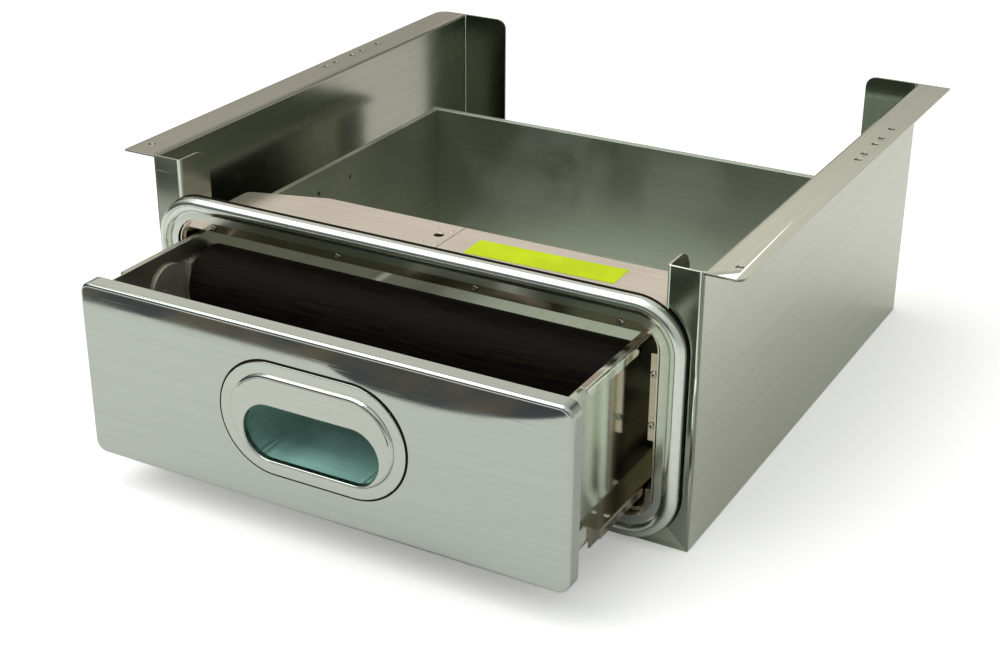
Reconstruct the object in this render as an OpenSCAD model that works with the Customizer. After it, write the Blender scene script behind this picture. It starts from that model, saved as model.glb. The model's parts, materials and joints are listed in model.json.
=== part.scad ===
// Coffee knock drawer: a folded sheet housing that hangs under a counter, with a drawer
// on roller runners and a rubber-covered knock bar across the bin.
// Millimetres. X right, Y back, Z up. The origin is the centre of the housing's underside.
// The drawer is drawn part open, pulled out by drawer_out from its closed place.

/* [Housing] */
// Depth of the side plates
housing_d = 404; // [404:1:440]
// Height from the underside to the top of the flanges
housing_h = 182.2; // [176:0.1:220]
// Sheet thickness of the side plates and the bottom
plate_t = 1.5; // [1.2:0.1:2]
// How far each top flange stands out from the side plate
flange_w = 23; // [18:1:40]
// Corner radius of the left flange at the rear
left_flange_rear_r = 10; // [2:1:14]
// Corner radius of the right flange at the front
right_flange_front_r = 5.5; // [2:0.5:14]
// Outer radius of the folds in the side plates
fold_r = 2.5; // [2:0.1:3]
// How far each front post reaches in from the outside of the side plate
post_w = 22.5; // [18:0.5:22.5]
// Depth of the return behind each post
return_d = 30; // [20:1:34]
// Radius at the top rear corner of each return
return_corner_r = 13; // [4:1:18]
// How far each rear fin reaches in from the outside of the side plate
rear_fin_w = 40; // [30:1:50]
// Radius at the top inner corner of each rear fin
rear_fin_corner_r = 8; // [3:1:14]
// Height of the bottom plate's front lip
front_lip_h = 14; // [8:1:14]
// Height of the bottom plate's side folds
side_fold_h = 14; // [8:1:16]
// Gap along the mitre between lip and post
mitre_gap = 0.4; // [0.2:0.1:0.8]

/* [Counter screws] */
// Diameter of the screw holes in the flanges
flange_hole_d = 5; // [4:0.5:6]
// Distance of the holes out from the side plates' outer faces
flange_hole_out = 14; // [10:0.5:15]
// Distance of the front hole behind the front plane
front_hole_y = 17; // [12:1:30]
// Distances of the other holes ahead of the rear end
rear_hole_ahead = [183, 170, 148, 134, 112];

/* [Sleeve and trim] */
// Room on each side from the drawer's wall to the outside of the sleeve
sleeve_side_room = 14.5; // [14.5:0.5:14.5]
// Outside height of the sleeve
sleeve_h = 130; // [130:0.5:134]
// Height of the middle of the opening above the underside
opening_z = 81.3; // [81.3:0.1:82]
// Depth of the sleeve behind the front plane
sleeve_d = 69; // [60:1:69]
// How far the sleeve stands out ahead of the front plane
sleeve_ahead = 5; // [4:0.5:5]
// Sheet thickness of the sleeve
sleeve_t = 1; // [0.8:0.1:1.2]
// Outside corner radius of the sleeve
sleeve_r = 17; // [15:0.5:18]
// Depth of the sleeve at its left end, where the rear edge runs on a slant
sleeve_left_d = 48; // [45:1:60]
// Start of that slant left of the middle
sleeve_slant_x = 103; // [90:1:120]
// Width of the seam in the sleeve's top
seam_w = 0.4; // [0.3:0.1:1]
// Distance of the seam right of the middle
seam_x = 1.5; // [0.8:0.1:1.8]
// Diameter of the large hole beside the seam
seam_hole_d = 7; // [4:0.5:8]
// Diameter of the rivets beside the seam
seam_rivet_d = 2.6; // [2:0.1:3.4]
// Width of the strap under the seam
strap_w = 34; // [30:1:40]
// Depth of the strap under the seam
strap_d = 33; // [30:1:36]
// Thickness of the strap under the seam
strap_t = 1.2; // [1:0.1:1.5]
// How far the trim reaches past the sleeve on each side
trim_side_reach = 16; // [14:0.5:17]
// Outside height of the trim
trim_h = 158; // [156:1:160]
// Height of the trim's middle
trim_z = 82.2; // [82:0.1:82.4]
// Outside corner radius of the trim
trim_r = 32.5; // [30:0.5:34]
// Width of the trim's raised bead
bead_w = 9.8; // [9:0.1:10]
// Height of the trim's raised bead
bead_h = 9; // [8.5:0.1:9.5]
// Width of the flat inside the bead
trim_flat_w = 5; // [4:0.5:5]
// Height of the flat's face above the front plane
trim_flat_h = 6; // [6:0.1:6.3]
// Sheet thickness of the trim
trim_t = 1; // [0.8:0.1:1]
// Size of the slope where the bead meets the flat of the trim
bead_foot_r = 1; // [0.6:0.1:1.4]

/* [Label] */
// Length of the blank sticker
label_l = 102; // [60:0.1:120]
// Depth of the blank sticker
label_d = 23.2; // [16:0.1:26]
// Thickness of the blank sticker
label_t = 0.3; // [0.2:0.1:0.5]
// Middle of the sticker, in from the sleeve's right side
label_in = 100.1; // [92:0.1:104]
// Middle of the sticker behind the front plane
label_y = 45.6; // [40:0.1:50]
// How far the sticker is turned on the sleeve
label_turn = 1.7; // [0:0.1:3]

/* [Window plate] */
// Distance of the plate ahead of the front plane
window_ahead = 2; // [1.5:0.1:2]
// Depth of the plate's folded rim
window_rim_d = 15; // [10:1:20]
// Room from the drawer's wall to the tabs of the window
window_side_room = 8.4; // [8.2:0.1:8.6]
// Lower edge of the window
window_bottom = 22.8; // [22:0.1:23]
// Upper edge of the window
window_top = 138.4; // [138:0.1:139]
// Corner radius at the bottom of the window
window_r = 5; // [2:0.5:7]
// Top of the lower corner tabs
lower_tab_top = 36.8; // [32:0.1:37]
// Bottom of the side tabs
side_tab_bottom = 70; // [50:1:75]
// Top of the side tabs
side_tab_top = 126.7; // [118:0.1:127]
// Heights of the screws in the side tabs
side_screw_z = [80.2, 113.5];
// Distances of the top screws in from the sleeve's sides
top_screw_in = [122.2, 26.3];
// Height of the top screws
top_screw_z = 142.2; // [142:0.1:142.4]
// Head diameter of the plate's screws
window_screw_head_d = 4.4; // [4:0.1:4.6]
// Head height of the plate's screws
window_screw_head_h = 1.6; // [1:0.1:2]
// Shank diameter of the plate's screws
window_screw_d = 2.5; // [2:0.1:3]

/* [Drawer] */
// How far the drawer is drawn out of its closed place
drawer_out = 91; // [91:0.5:91]
// Room on each side between the rubber's end and the outside of the drawer's wall
bar_end_room = 7; // [7:0.5:7]
// Underside of the drawer above the housing's underside
drawer_bottom = 24.5; // [24:0.5:26]
// Top of the drawer's rim
drawer_top = 135.5; // [130:0.5:135.5]
// How much shorter the drawer's bin is than the housing
drawer_rear_room = 12; // [12:1:20]
// Sheet thickness of the drawer
drawer_t = 1; // [0.8:0.1:1.2]
// Outside radius of the folds along the floor
floor_fold_r = 8; // [4:0.5:9]
// How far the hems stand out from the walls
hem_w = 4.5; // [4:0.5:7]
// Height of the hems
hem_h = 7; // [5:0.5:9]
// Outer radius of the hems' top edge
hem_r = 2; // [1.2:0.1:2.5]
// Distance of the hems' front ends behind the front panel
hem_start = 19; // [10:1:30]
// Depth of the rear wall's hem
rear_hem_d = 6; // [4:0.5:6]
// Length of the rear wall's side flanges
rear_flange_l = 32; // [28:1:36]
// Diameter of the weld marks in the side walls
weld_mark_d = 3.4; // [2:0.1:4]
// Heights of the weld marks above the housing's underside
weld_mark_z = [58, 73, 101, 120.5, 130];
// Diameter of the two holes in each side wall
wall_hole_d = 4; // [3:0.5:5]

/* [Front panel] */
// Gap between each end of the front panel and the outside of the sleeve
panel_side_gap = 3.5; // [3.5:0.5:6]
// Height of the front panel
panel_h = 117; // [112:1:117]
// Thickness of the front panel
panel_d = 11.5; // [10:0.5:12]
// Corner radius of the front panel
panel_r = 8; // [6:0.5:12]
// Radius of the front panel's soft edges
panel_edge_r = 2.5; // [2:0.5:5]
// Sheet thickness of the front panel
panel_t = 1.2; // [1:0.1:1.5]
// Height of the front panel's middle
panel_z = 80.5; // [80.5:0.5:81.5]

/* [Handle] */
// Height of the handle's middle
handle_z = 81.5; // [81:0.5:82]
// Length of the handle's outer ring
bezel_l = 129; // [124:1:136]
// Height of the handle's outer ring
bezel_h = 74; // [74:1:76]
// How far the ring stands proud of the panel
bezel_proud = 1; // [0.8:0.1:1.5]
// Radius of the ring's outer edge
bezel_edge_r = 0.8; // [0.4:0.1:0.8]
// Width of the ring outside the raised plate
bezel_ring_w = 7.5; // [7.5:0.1:7.5]
// How far the raised plate stands proud of the panel
boss_proud = 3; // [2.5:0.1:4]
// Radius of the raised plate's shoulder
boss_edge_r = 2.5; // [1.5:0.1:2.5]
// Sheet thickness of the handle
bezel_t = 1.2; // [1:0.1:1.2]
// Length of the grip slot
grip_l = 94.4; // [84:0.4:94.4]
// Height of the grip slot
grip_h = 36.4; // [32:0.4:36.4]
// Distance of the grip slot below the handle's middle
grip_down = 8.75; // [7:0.25:8.75]
// Radius of the grip slot's front edge
grip_edge_r = 1; // [0.5:0.1:1]
// How far the slot's turned-in edge reaches behind the panel's face
grip_lip_d = 1; // [0.5:0.1:2]
// Depth of the cup behind the panel's face
cup_d = 31.2; // [24:0.1:36]
// Sheet thickness of the cup
cup_t = 0.8; // [0.6:0.1:0.8]

/* [Knock bar] */
// Outer diameter of the rubber
rubber_d = 48; // [40:1:50]
// Length of the rubber
rubber_l = 300; // [283:1:300]
// Outer diameter of the steel core
core_d = 30; // [24:1:32]
// Wall of the steel core
core_t = 2; // [1.5:0.1:3]
// How far the steel core stands out of each end of the rubber
core_end = 3.5; // [3:0.5:4]
// Distance of the bar behind the front panel's back
bar_y = 92; // [88:1:110]
// Height of the bar's middle
bar_z = 105; // [98:1:106]
// Thickness of the bar's brackets
bracket_t = 1.5; // [1.2:0.1:2]
// Radius of the arched front end of each bracket
arch_r = 18; // [14:1:20]
// Height of the middle of that arch
arch_z = 109; // [105:1:110]
// Distance of that arch in front of the bar
arch_ahead = 35; // [33:1:38]
// Bottom of the brackets
bracket_bottom = 72; // [60:1:80]
// Gap between the bracket's flanges and the ends of the rubber
bracket_rubber_gap = 1; // [1:0.5:1.5]
// Diameter of the hole in the front end of each bracket
bracket_hole_d = 3; // [2:0.5:4]
// Diameter of the bracket rivets' heads
bracket_rivet_head_d = 6; // [5:0.5:7]

/* [Runners] */
// Width of each drawer runner from wall to outer lip
runner_w = 7.7; // [7.7:0.1:7.7]
// Height of each drawer runner
runner_h = 14; // [13.5:0.1:14]
// Top of the drawer runners
runner_top = 39.5; // [39.5:0.1:39.8]
// Height of the drawer runner's outer lip
runner_lip_h = 6; // [4:0.5:6]
// Sheet thickness of the drawer runners
runner_t = 1; // [0.8:0.1:1]
// Distance of the drawer runners' front ends behind the front panel
runner_start = 34; // [25:1:40]
// Diameter of the rollers
roller_d = 16; // [15.6:0.1:16]
// Height of the rollers' middle
roller_z = 30.2; // [30.2:0.1:30.2]
// Width of the front rollers
front_roller_w = 4.1; // [3.8:0.1:4.1]
// Width of the rear rollers
rear_roller_w = 6; // [5:0.5:6]
// Diameter of the roller axles
axle_d = 4.4; // [4:0.1:4.4]
// Running clearance of the rollers on their axles, in the radius
axle_clearance = 0.05; // [0.03:0.01:0.1]
// Distance of the front rollers behind the front plane
front_roller_y = 80; // [80:1:81]
// Distance of the rear rollers ahead of the drawer's rear end
rear_roller_back = 7.5; // [7.5:0.5:9]
// Sheet thickness of the cabinet rails
rail_t = 1.2; // [1:0.1:1.2]
// Height of the inside of the cabinet rails
rail_inside_h = 16.6; // [16.6:0.1:17]
// Front end of the cabinet rails behind the front plane
rail_start = 71; // [70:1:71]
// Room between the cabinet rails' ends and the rear of the housing
rail_rear_room = 6; // [6:1:12]
// Distance of the drawer stop behind the front plane
stop_y = 104.8; // [100:0.1:104.8]
// Width of the spacer brackets
spacer_w = 25; // [18:1:30]
// Distance of the front spacer brackets behind the front plane
front_spacer_y = 112; // [108:1:140]
// Distance of the rear spacer brackets ahead of the housing's rear
rear_spacer_ahead = 54; // [50:1:90]

/* [Hidden] */
$fn = 64;

// Overshoot of every cutting shape past the face it cuts
cut = 1;
// How far a rounded edge laps into the slab that it runs round
edge_lap = 0.3;

// Colours as the photograph shows them
STEEL = [0.66, 0.68, 0.64];
STEEL_WARM = [0.76, 0.72, 0.66];
STEEL_DARK = [0.45, 0.48, 0.45];
POLISHED = [0.78, 0.80, 0.79];
LABEL_YELLOW = [0.83, 0.88, 0.05];
RUBBER = [0.08, 0.075, 0.08];
NYLON = [0.80, 0.79, 0.75];

// Widths, each from the one inside it
drawer_w = rubber_l + 2 * bar_end_room;
sleeve_w = drawer_w + 2 * sleeve_side_room;
housing_w = sleeve_w + 2 * post_w;
trim_w = sleeve_w + 2 * trim_side_reach;
panel_w = sleeve_w - 2 * panel_side_gap;

// Housing
side_x = housing_w / 2;
flange_hole_x = side_x + flange_hole_out;
rear_hole_y = [for (ahead = rear_hole_ahead) housing_d - ahead];
side_inner_x = side_x - plate_t;
return_inner_x = side_x - post_w;
flange_top_r = fold_r;
inner_fold_r = fold_r - plate_t;

// Sleeve and trim
sleeve_half_w = sleeve_w / 2;
sleeve_half_h = sleeve_h / 2;
sleeve_inner_r = sleeve_r - sleeve_t;
sleeve_top = opening_z + sleeve_half_h;
label_x = sleeve_half_w - label_in;
rim_inner_r = sleeve_inner_r - sleeve_t;
trim_inner_r = trim_r - bead_w - trim_flat_w;
seam_hole = [-7.3, 50];
seam_rivets = [[-13.2, 58.5], [-2.7, 58.5], [-11.7, 36.2], [-1.8, 36.2]];
seam_rivet_head_h = 0.4;
strap_left = -19;
strap_front = 31;

// Window plate
window_y = -window_ahead;
window_inner_w = sleeve_half_w - sleeve_t;
window_half_w = drawer_w / 2 + window_side_room;
side_screw_x = sleeve_half_w - 3.9;
top_screw_x = [for (in = top_screw_in) sleeve_half_w - in];
window_screw_l = 6;

// Drawer
wall_x = drawer_w / 2;
wall_inner_x = wall_x - drawer_t;
drawer_l = housing_d - drawer_rear_room;
closed_gap = 0.4;
closed_back_y = window_y - window_screw_head_h - closed_gap;
panel_back_y = closed_back_y - drawer_out;
drawer_rear = panel_back_y + drawer_l;
hem_front = panel_back_y + hem_start;
wall_holes = [[226.3, 119], [266.3, 119]];
weld_mark_depth = 0.3;
weld_mark_back = 25.5;
rear_flange_bottom = 42;
rear_flange_top = drawer_top - hem_h - 0.5;

// Front panel
panel_back_t = 1;
panel_face_y = panel_back_y - panel_d;
panel_screw_x = [wall_x - 47, wall_x - 17];
panel_screw_z = 112;
panel_screw_drop = 60;
panel_screw_head_d = 7;
panel_screw_head_h = 2;
panel_screw_d = 4;

// Handle
bezel_r = bezel_h / 2;
bezel_run = bezel_l / 2 - bezel_r;
bezel_overlap = 1.5;
plug_clearance = 0.1;
boss_r = bezel_r - bezel_ring_w;
boss_wall = 1.5;
cup_r = boss_r + 1;
cup_hole_clearance = 0.2;
grip_r = grip_h / 2;
grip_run = grip_l / 2 - grip_r;

// Knock bar
bar_centre_y = panel_back_y + bar_y;
bracket_wall_x = wall_inner_x;
bracket_flange_w = bracket_wall_x - rubber_l / 2 - bracket_rubber_gap;
core_l = rubber_l + 2 * core_end;
bracket_flange_front = 17;
bracket_flange_gap = 2;
bracket_flange_top = 124;
bracket_rear_top = 112;
bracket_flange_r = 6;
bracket_rivets = [[-46, 82], [-6, 80]];
bracket_rivet_head_h = 1.2;
bracket_rivet_d = 3.2;
core_seat_gap = 0.1;
rubber_chamfer = 2;
rubber_clearance = 0.05;
bracket_hole = [-41, 112];

// Runners
roller_r = roller_d / 2;
runner_front = panel_back_y + runner_start;
runner_flange_end = drawer_rear - 17;
runner_end = drawer_rear - 1;
runner_rivet_head_d = 4;
runner_rivet_head_h = 0.8;
runner_rivet_d = 2.4;
flange_rivet_y = 16.5;
web_rivet_z = 36;
web_rivet_y = [60, drawer_l / 2 - 6, drawer_l - 72];
wall_rivet_head_h = 0.8;
wall_rivet_head_d = 5;
rail_web_outer = sleeve_half_w - sleeve_t;
rail_web_inner = rail_web_outer - rail_t;
rail_floor = roller_z - roller_r - 0.2;
rail_bottom_w = 10.5;
rail_top_w = 4.3;
stop_h = 8;
stop_inner = wall_x + 4;
stop_outer = wall_x + 11;
rail_l = housing_d - rail_start - rail_rear_room;
spacer_y = [front_spacer_y, housing_d - rear_spacer_ahead];
front_roller_inner = wall_x + 2.2;
rear_roller_inner = wall_x + 3.5;
rear_roller_y = drawer_rear - rear_roller_back;
axle_head_d = 6.4;
axle_head_h = 0.5;
collar_d = 6;
roller_gap = 0.1;
stud_head_d = 7;
stud_head_h = 1.2;
roller_edge = 0.6;
spacer_t = 1.5;
spacer_top = 38;
spacer_rail_bottom = 22;
spacer_side_bottom = 20;
spacer_screw_z = 29;
spacer_screw_d = 3;
spacer_screw_head_d = 6;
spacer_screw_head_h = 1.6;

// Moves the shapes, drawn with the front plane at Y = 0, into the part's own frame
module from_front() {
    translate([0, -housing_d / 2, 0]) children();
}

// Stands a flat shape up to face the front, its thickness running forward from y
module facing_front(y) {
    translate([0, y, 0]) rotate([90, 0, 0]) children();
}

// Lays a section drawn in X and Z along Y, from one distance to another
module along_depth(from, to) {
    translate([0, to, 0]) rotate([90, 0, 0]) linear_extrude(to - from) children();
}

// Turns a shape drawn in Y and Z into a sheet that spans from one X to another
module across(from, to) {
    translate([from, 0, 0]) rotate([90, 0, 90]) linear_extrude(to - from) children();
}

// Rectangle between two corners
module box_2d(x0, y0, x1, y1) {
    translate([x0, y0]) square([x1 - x0, y1 - y0]);
}

// Rectangle between two corners with round corners
module round_box(x0, y0, x1, y1, r) {
    box_2d(x0 + r, y0, x1 - r, y1);
    box_2d(x0, y0 + r, x1, y1 - r);
    for (x = [x0 + r, x1 - r], y = [y0 + r, y1 - r]) translate([x, y]) circle(r);
}

// What a rounded corner loses: the corner points along dx and dy from its tip
module corner_loss(x, y, dx, dy, r) {
    difference() {
        translate([dx > 0 ? x - r : x - cut, dy > 0 ? y - r : y - cut]) square(r + cut);
        translate([x - dx * r, y - dy * r]) circle(r);
    }
}

// Stadium with its middle at the origin
module stadium(run, r) {
    box_2d(-run, -r, run, r);
    for (x = [-run, run]) translate([x, 0]) circle(r);
}

// Carries a section round a rectangle of corner centres, the section's X pointing outward
module sweep_round(cx, cy) {
    for (side = [0:3]) {
        reach = side % 2 == 0 ? cx : cy;
        run = side % 2 == 0 ? cy : cx;
        rotate([0, 0, 90 * side]) {
            if (run > 0) translate([reach, run, 0]) rotate([90, 0, 0]) linear_extrude(2 * run) children();
            translate([reach, run, 0]) rotate_extrude(angle = 90) children();
        }
    }
}

// Round bar along X between two places
module pin_x(x0, x1, y, z, d) {
    translate([min(x0, x1), y, z]) rotate([0, 90, 0]) cylinder(h = abs(x1 - x0), d = d);
}

// Round bar along Y between two places
module pin_y(y0, y1, x, z, d) {
    translate([x, max(y0, y1), z]) rotate([90, 0, 0]) cylinder(h = abs(y1 - y0), d = d);
}

// Plan of the right side plate: return, post, side and rear fin in one folded strip
module side_plan() {
    difference() {
        round_box(return_inner_x, 0, side_x, housing_d, fold_r);
        round_box(return_inner_x + plate_t, plate_t, side_inner_x, housing_d - plate_t, inner_fold_r);
        box_2d(return_inner_x - cut, return_d, side_inner_x - inner_fold_r, housing_d - plate_t);
    }
    box_2d(side_x - rear_fin_w, housing_d - plate_t, side_x - fold_r, housing_d);
}

// What is cut from the folded strip: mitre, return corner, fin corner and top fold
module side_cuts() {
    facing_front(plate_t + cut) linear_extrude(plate_t + 2 * cut) polygon([
        [side_x + mitre_gap + cut, -cut], [side_x - front_lip_h + mitre_gap - cut, front_lip_h + cut],
        [return_inner_x - cut, front_lip_h + cut], [return_inner_x - cut, -cut]
    ]);
    translate([0, plate_t, 0])
        linear_extrude(front_lip_h + mitre_gap) box_2d(return_inner_x - cut, -cut - plate_t, return_inner_x + plate_t + cut, return_d + cut);
    across(return_inner_x - cut, return_inner_x + plate_t + cut)
        corner_loss(return_d, housing_h, 1, 1, return_corner_r);
    facing_front(housing_d + cut) linear_extrude(plate_t + 2 * cut)
        corner_loss(side_x - rear_fin_w, housing_h, -1, 1, rear_fin_corner_r);
    along_depth(fold_r, housing_d - fold_r) corner_loss(side_inner_x, housing_h, -1, 1, flange_top_r);
}

// Top flange of the right side plate with its screw holes
module top_flange(front_r, rear_r) {
    difference() {
        translate([0, 0, housing_h - plate_t]) linear_extrude(plate_t) difference() {
            box_2d(side_inner_x + plate_t / 2, 0, side_x + flange_w, housing_d);
            if (front_r > 0) corner_loss(side_x + flange_w, 0, 1, -1, front_r);
            if (rear_r > 0) corner_loss(side_x + flange_w, housing_d, 1, 1, rear_r);
        }
        for (y = concat([front_hole_y], rear_hole_y))
            translate([flange_hole_x, y, housing_h - plate_t - cut]) cylinder(h = plate_t + 2 * cut, d = flange_hole_d);
    }
}

module side_plate(front_r, rear_r) {
    difference() {
        union() {
            linear_extrude(housing_h) side_plan();
            top_flange(front_r, rear_r);
        }
        side_cuts();
    }
}

module left_side_plate() {
    color(STEEL) from_front() mirror([1, 0, 0]) side_plate(0, left_flange_rear_r);
}

module right_side_plate() {
    color(STEEL) from_front() side_plate(right_flange_front_r, 0);
}

// Floor with a front lip mitred at 45 degrees and folds that lie on the side plates
module bottom_plate() {
    color(STEEL) from_front() {
        translate([-side_inner_x, plate_t, 0]) cube([2 * side_inner_x, housing_d - 2 * plate_t, plate_t]);
        facing_front(plate_t) linear_extrude(plate_t) polygon([
            [-side_x, 0], [side_x, 0], [side_x - front_lip_h, front_lip_h], [front_lip_h - side_x, front_lip_h]
        ]);
        for (side = [0, 1]) mirror([side, 0, 0])
            translate([side_inner_x - plate_t, return_d + plate_t, 0])
                cube([plate_t, housing_d - return_d - 3 * plate_t, side_fold_h]);
    }
}

// Strip bent round the opening, with a seam and a row of holes in the middle of its top
module opening_sleeve() {
    color(STEEL_WARM) from_front() difference() {
        translate([0, sleeve_d, opening_z]) rotate([90, 0, 0]) linear_extrude(sleeve_d + sleeve_ahead) difference() {
            round_box(-sleeve_half_w, -sleeve_half_h, sleeve_half_w, sleeve_half_h, sleeve_r);
            round_box(sleeve_t - sleeve_half_w, sleeve_t - sleeve_half_h,
                sleeve_half_w - sleeve_t, sleeve_half_h - sleeve_t, sleeve_inner_r);
            box_2d(seam_x - seam_w / 2, 0, seam_x + seam_w / 2, sleeve_half_h + cut);
        }
        linear_extrude(sleeve_top + cut) polygon([
            [-sleeve_slant_x, sleeve_d], [-sleeve_slant_x, sleeve_d + cut],
            [-sleeve_half_w - cut, sleeve_d + cut], [-sleeve_half_w - cut, sleeve_left_d]
        ]);
        translate([seam_hole[0], seam_hole[1], sleeve_top - sleeve_t - cut])
            cylinder(h = sleeve_t + 2 * cut, d = seam_hole_d);
        for (place = seam_rivets) translate([place[0], place[1], sleeve_top - sleeve_t - cut])
            cylinder(h = sleeve_t + 2 * cut, d = seam_rivet_d);
    }
}

module sleeve_joint_strap() {
    color(STEEL_WARM) from_front() translate([0, 0, sleeve_top - sleeve_t - strap_t]) difference() {
        translate([strap_left, strap_front, 0]) cube([strap_w, strap_d, strap_t]);
        translate([seam_hole[0], seam_hole[1], -cut]) cylinder(h = strap_t + 2 * cut, d = seam_hole_d);
        for (place = seam_rivets) translate([place[0], place[1], -cut])
            cylinder(h = strap_t + 2 * cut, d = seam_rivet_d);
    }
}

module sleeve_rivets() {
    color(STEEL) from_front() for (place = seam_rivets) translate([place[0], place[1], sleeve_top]) {
        translate([0, 0, -sleeve_t - strap_t]) cylinder(h = sleeve_t + strap_t, d = seam_rivet_d);
        cylinder(h = seam_rivet_head_h, d1 = seam_rivet_d + 0.8, d2 = seam_rivet_d);
    }
}

module size_label() {
    color(LABEL_YELLOW) from_front() translate([label_x, label_y, sleeve_top]) rotate([0, 0, label_turn])
        translate([-label_l / 2, -label_d / 2, 0]) cube([label_l, label_d, label_t]);
}

// Section of the trim: a flat at the opening, then a half-round bead whose outer side reaches the posts
module trim_section() {
    bead_r = bead_w / 2;
    bead_x = trim_r - bead_r;
    bead_side = bead_h - bead_r;
    flat_back = trim_flat_h - trim_t;
    foot_rise = trim_flat_h + bead_foot_r - bead_side;
    foot_x = bead_x - sqrt(pow(bead_r + bead_foot_r, 2) - pow(foot_rise, 2));
    touch = bead_r / (bead_r + bead_foot_r);
    difference() {
        union() {
            translate([bead_x, bead_side]) circle(bead_r);
            box_2d(bead_x, 0, trim_r, bead_side);
        }
        translate([bead_x, bead_side]) circle(bead_r - trim_t);
        box_2d(bead_x - cut, -cut, trim_r - trim_t, bead_side);
        box_2d(bead_x - bead_r - cut, -cut, bead_x, flat_back);
    }
    box_2d(trim_inner_r, flat_back, bead_x - bead_r + trim_t, trim_flat_h);
    polygon([
        [foot_x, trim_flat_h - trim_t / 2], [foot_x, trim_flat_h],
        [bead_x - (bead_x - foot_x) * touch, bead_side + foot_rise * touch],
        [bead_x - (bead_x - foot_x) * touch, trim_flat_h - trim_t / 2]
    ]);
}

module trim_frame() {
    color(POLISHED) from_front() translate([0, 0, trim_z]) rotate([90, 0, 0])
        sweep_round(trim_w / 2 - trim_r, trim_h / 2 - trim_r) trim_section();
}

// Clear window of the plate: low corners, full-width notches for the runner and the hem
module window_outline() {
    inner_w = window_inner_w - sleeve_t;
    intersection() {
        union() {
            round_box(-window_half_w, window_bottom, window_half_w, window_top, window_r);
            box_2d(-inner_w, lower_tab_top, inner_w, side_tab_bottom);
            box_2d(-inner_w, side_tab_top, inner_w, window_top);
        }
        translate([0, opening_z]) round_box(-inner_w, 2 * sleeve_t - sleeve_half_h,
            inner_w, sleeve_half_h - 2 * sleeve_t, rim_inner_r);
    }
}

module window_screw_places() {
    for (side = [-1, 1], z = side_screw_z) translate([side * side_screw_x, 0, z]) children();
    for (side = [-1, 1], x = top_screw_x) translate([side * x, 0, top_screw_z]) children();
}

module window_plate() {
    color(STEEL_DARK) from_front() difference() {
        union() {
            facing_front(window_y + sleeve_t) linear_extrude(sleeve_t) difference() {
                translate([0, opening_z]) round_box(-window_inner_w, sleeve_t - sleeve_half_h,
                    window_inner_w, sleeve_half_h - sleeve_t, sleeve_inner_r);
                window_outline();
            }
            translate([0, window_y + window_rim_d, opening_z]) rotate([90, 0, 0]) linear_extrude(window_rim_d)
                difference() {
                    round_box(-window_inner_w, sleeve_t - sleeve_half_h,
                        window_inner_w, sleeve_half_h - sleeve_t, sleeve_inner_r);
                    round_box(sleeve_t - window_inner_w, 2 * sleeve_t - sleeve_half_h,
                        window_inner_w - sleeve_t, sleeve_half_h - 2 * sleeve_t, rim_inner_r);
                }
        }
        window_screw_places() pin_y(window_y - cut, window_y + sleeve_t + cut, 0, 0, window_screw_d);
    }
}

// Pan-head screws: a low round head on a plain shank
module window_plate_screws() {
    color(STEEL) from_front() window_screw_places() {
        pin_y(window_y, window_y + window_screw_l, 0, 0, window_screw_d);
        translate([0, window_y, 0]) rotate([90, 0, 0])
            cylinder(h = window_screw_head_h, d1 = window_screw_head_d, d2 = window_screw_head_d - 1.2);
    }
}

// Rail on the right: a C channel open toward the drawer, with an upright stop
module cabinet_rail() {
    rail_bottom = rail_floor - rail_t;
    rail_ceiling = rail_floor + rail_inside_h;
    difference() {
        along_depth(rail_start, rail_start + rail_l) {
            box_2d(rail_web_inner, rail_bottom, rail_web_outer, rail_ceiling + rail_t);
            box_2d(rail_web_outer - rail_bottom_w, rail_bottom, rail_web_outer, rail_floor);
            box_2d(rail_web_outer - rail_top_w, rail_ceiling, rail_web_outer, rail_ceiling + rail_t);
        }
        pin_x(rail_web_inner - cut, rail_web_outer + cut, front_roller_y, roller_z, axle_d);
        for (y = spacer_y)
            pin_x(rail_web_inner - cut, rail_web_outer + cut, y + spacer_w / 2, spacer_screw_z, spacer_screw_d);
    }
    translate([stop_inner, stop_y, rail_floor - rail_t / 2])
        cube([stop_outer - stop_inner, rail_t, stop_h + rail_t / 2]);
}

module left_cabinet_rail() {
    color(STEEL) from_front() mirror([1, 0, 0]) cabinet_rail();
}

module right_cabinet_rail() {
    color(STEEL) from_front() cabinet_rail();
}

// Folded spacers that hold the right rail off the side plate
module rail_brackets() {
    for (y = spacer_y) difference() {
        along_depth(y, y + spacer_w) {
            box_2d(rail_web_outer, spacer_rail_bottom, rail_web_outer + spacer_t, spacer_top);
            box_2d(rail_web_outer, spacer_top - spacer_t, side_inner_x, spacer_top);
            box_2d(side_inner_x - spacer_t, spacer_side_bottom, side_inner_x, spacer_top);
        }
        pin_x(rail_web_outer - cut, rail_web_outer + spacer_t + cut, y + spacer_w / 2, spacer_screw_z, spacer_screw_d);
    }
}

module left_rail_brackets() {
    color(STEEL) from_front() mirror([1, 0, 0]) rail_brackets();
}

module right_rail_brackets() {
    color(STEEL) from_front() rail_brackets();
}

module rail_screws() {
    head_x = rail_web_outer + spacer_t;
    color(STEEL) from_front() for (side = [0, 1], y = spacer_y) mirror([side, 0, 0]) {
        pin_x(rail_web_inner, head_x, y + spacer_w / 2, spacer_screw_z, spacer_screw_d);
        translate([head_x, y + spacer_w / 2, spacer_screw_z]) rotate([0, 90, 0])
            cylinder(h = spacer_screw_head_h, d1 = spacer_screw_head_d, d2 = spacer_screw_head_d - 1.6);
    }
}

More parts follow.
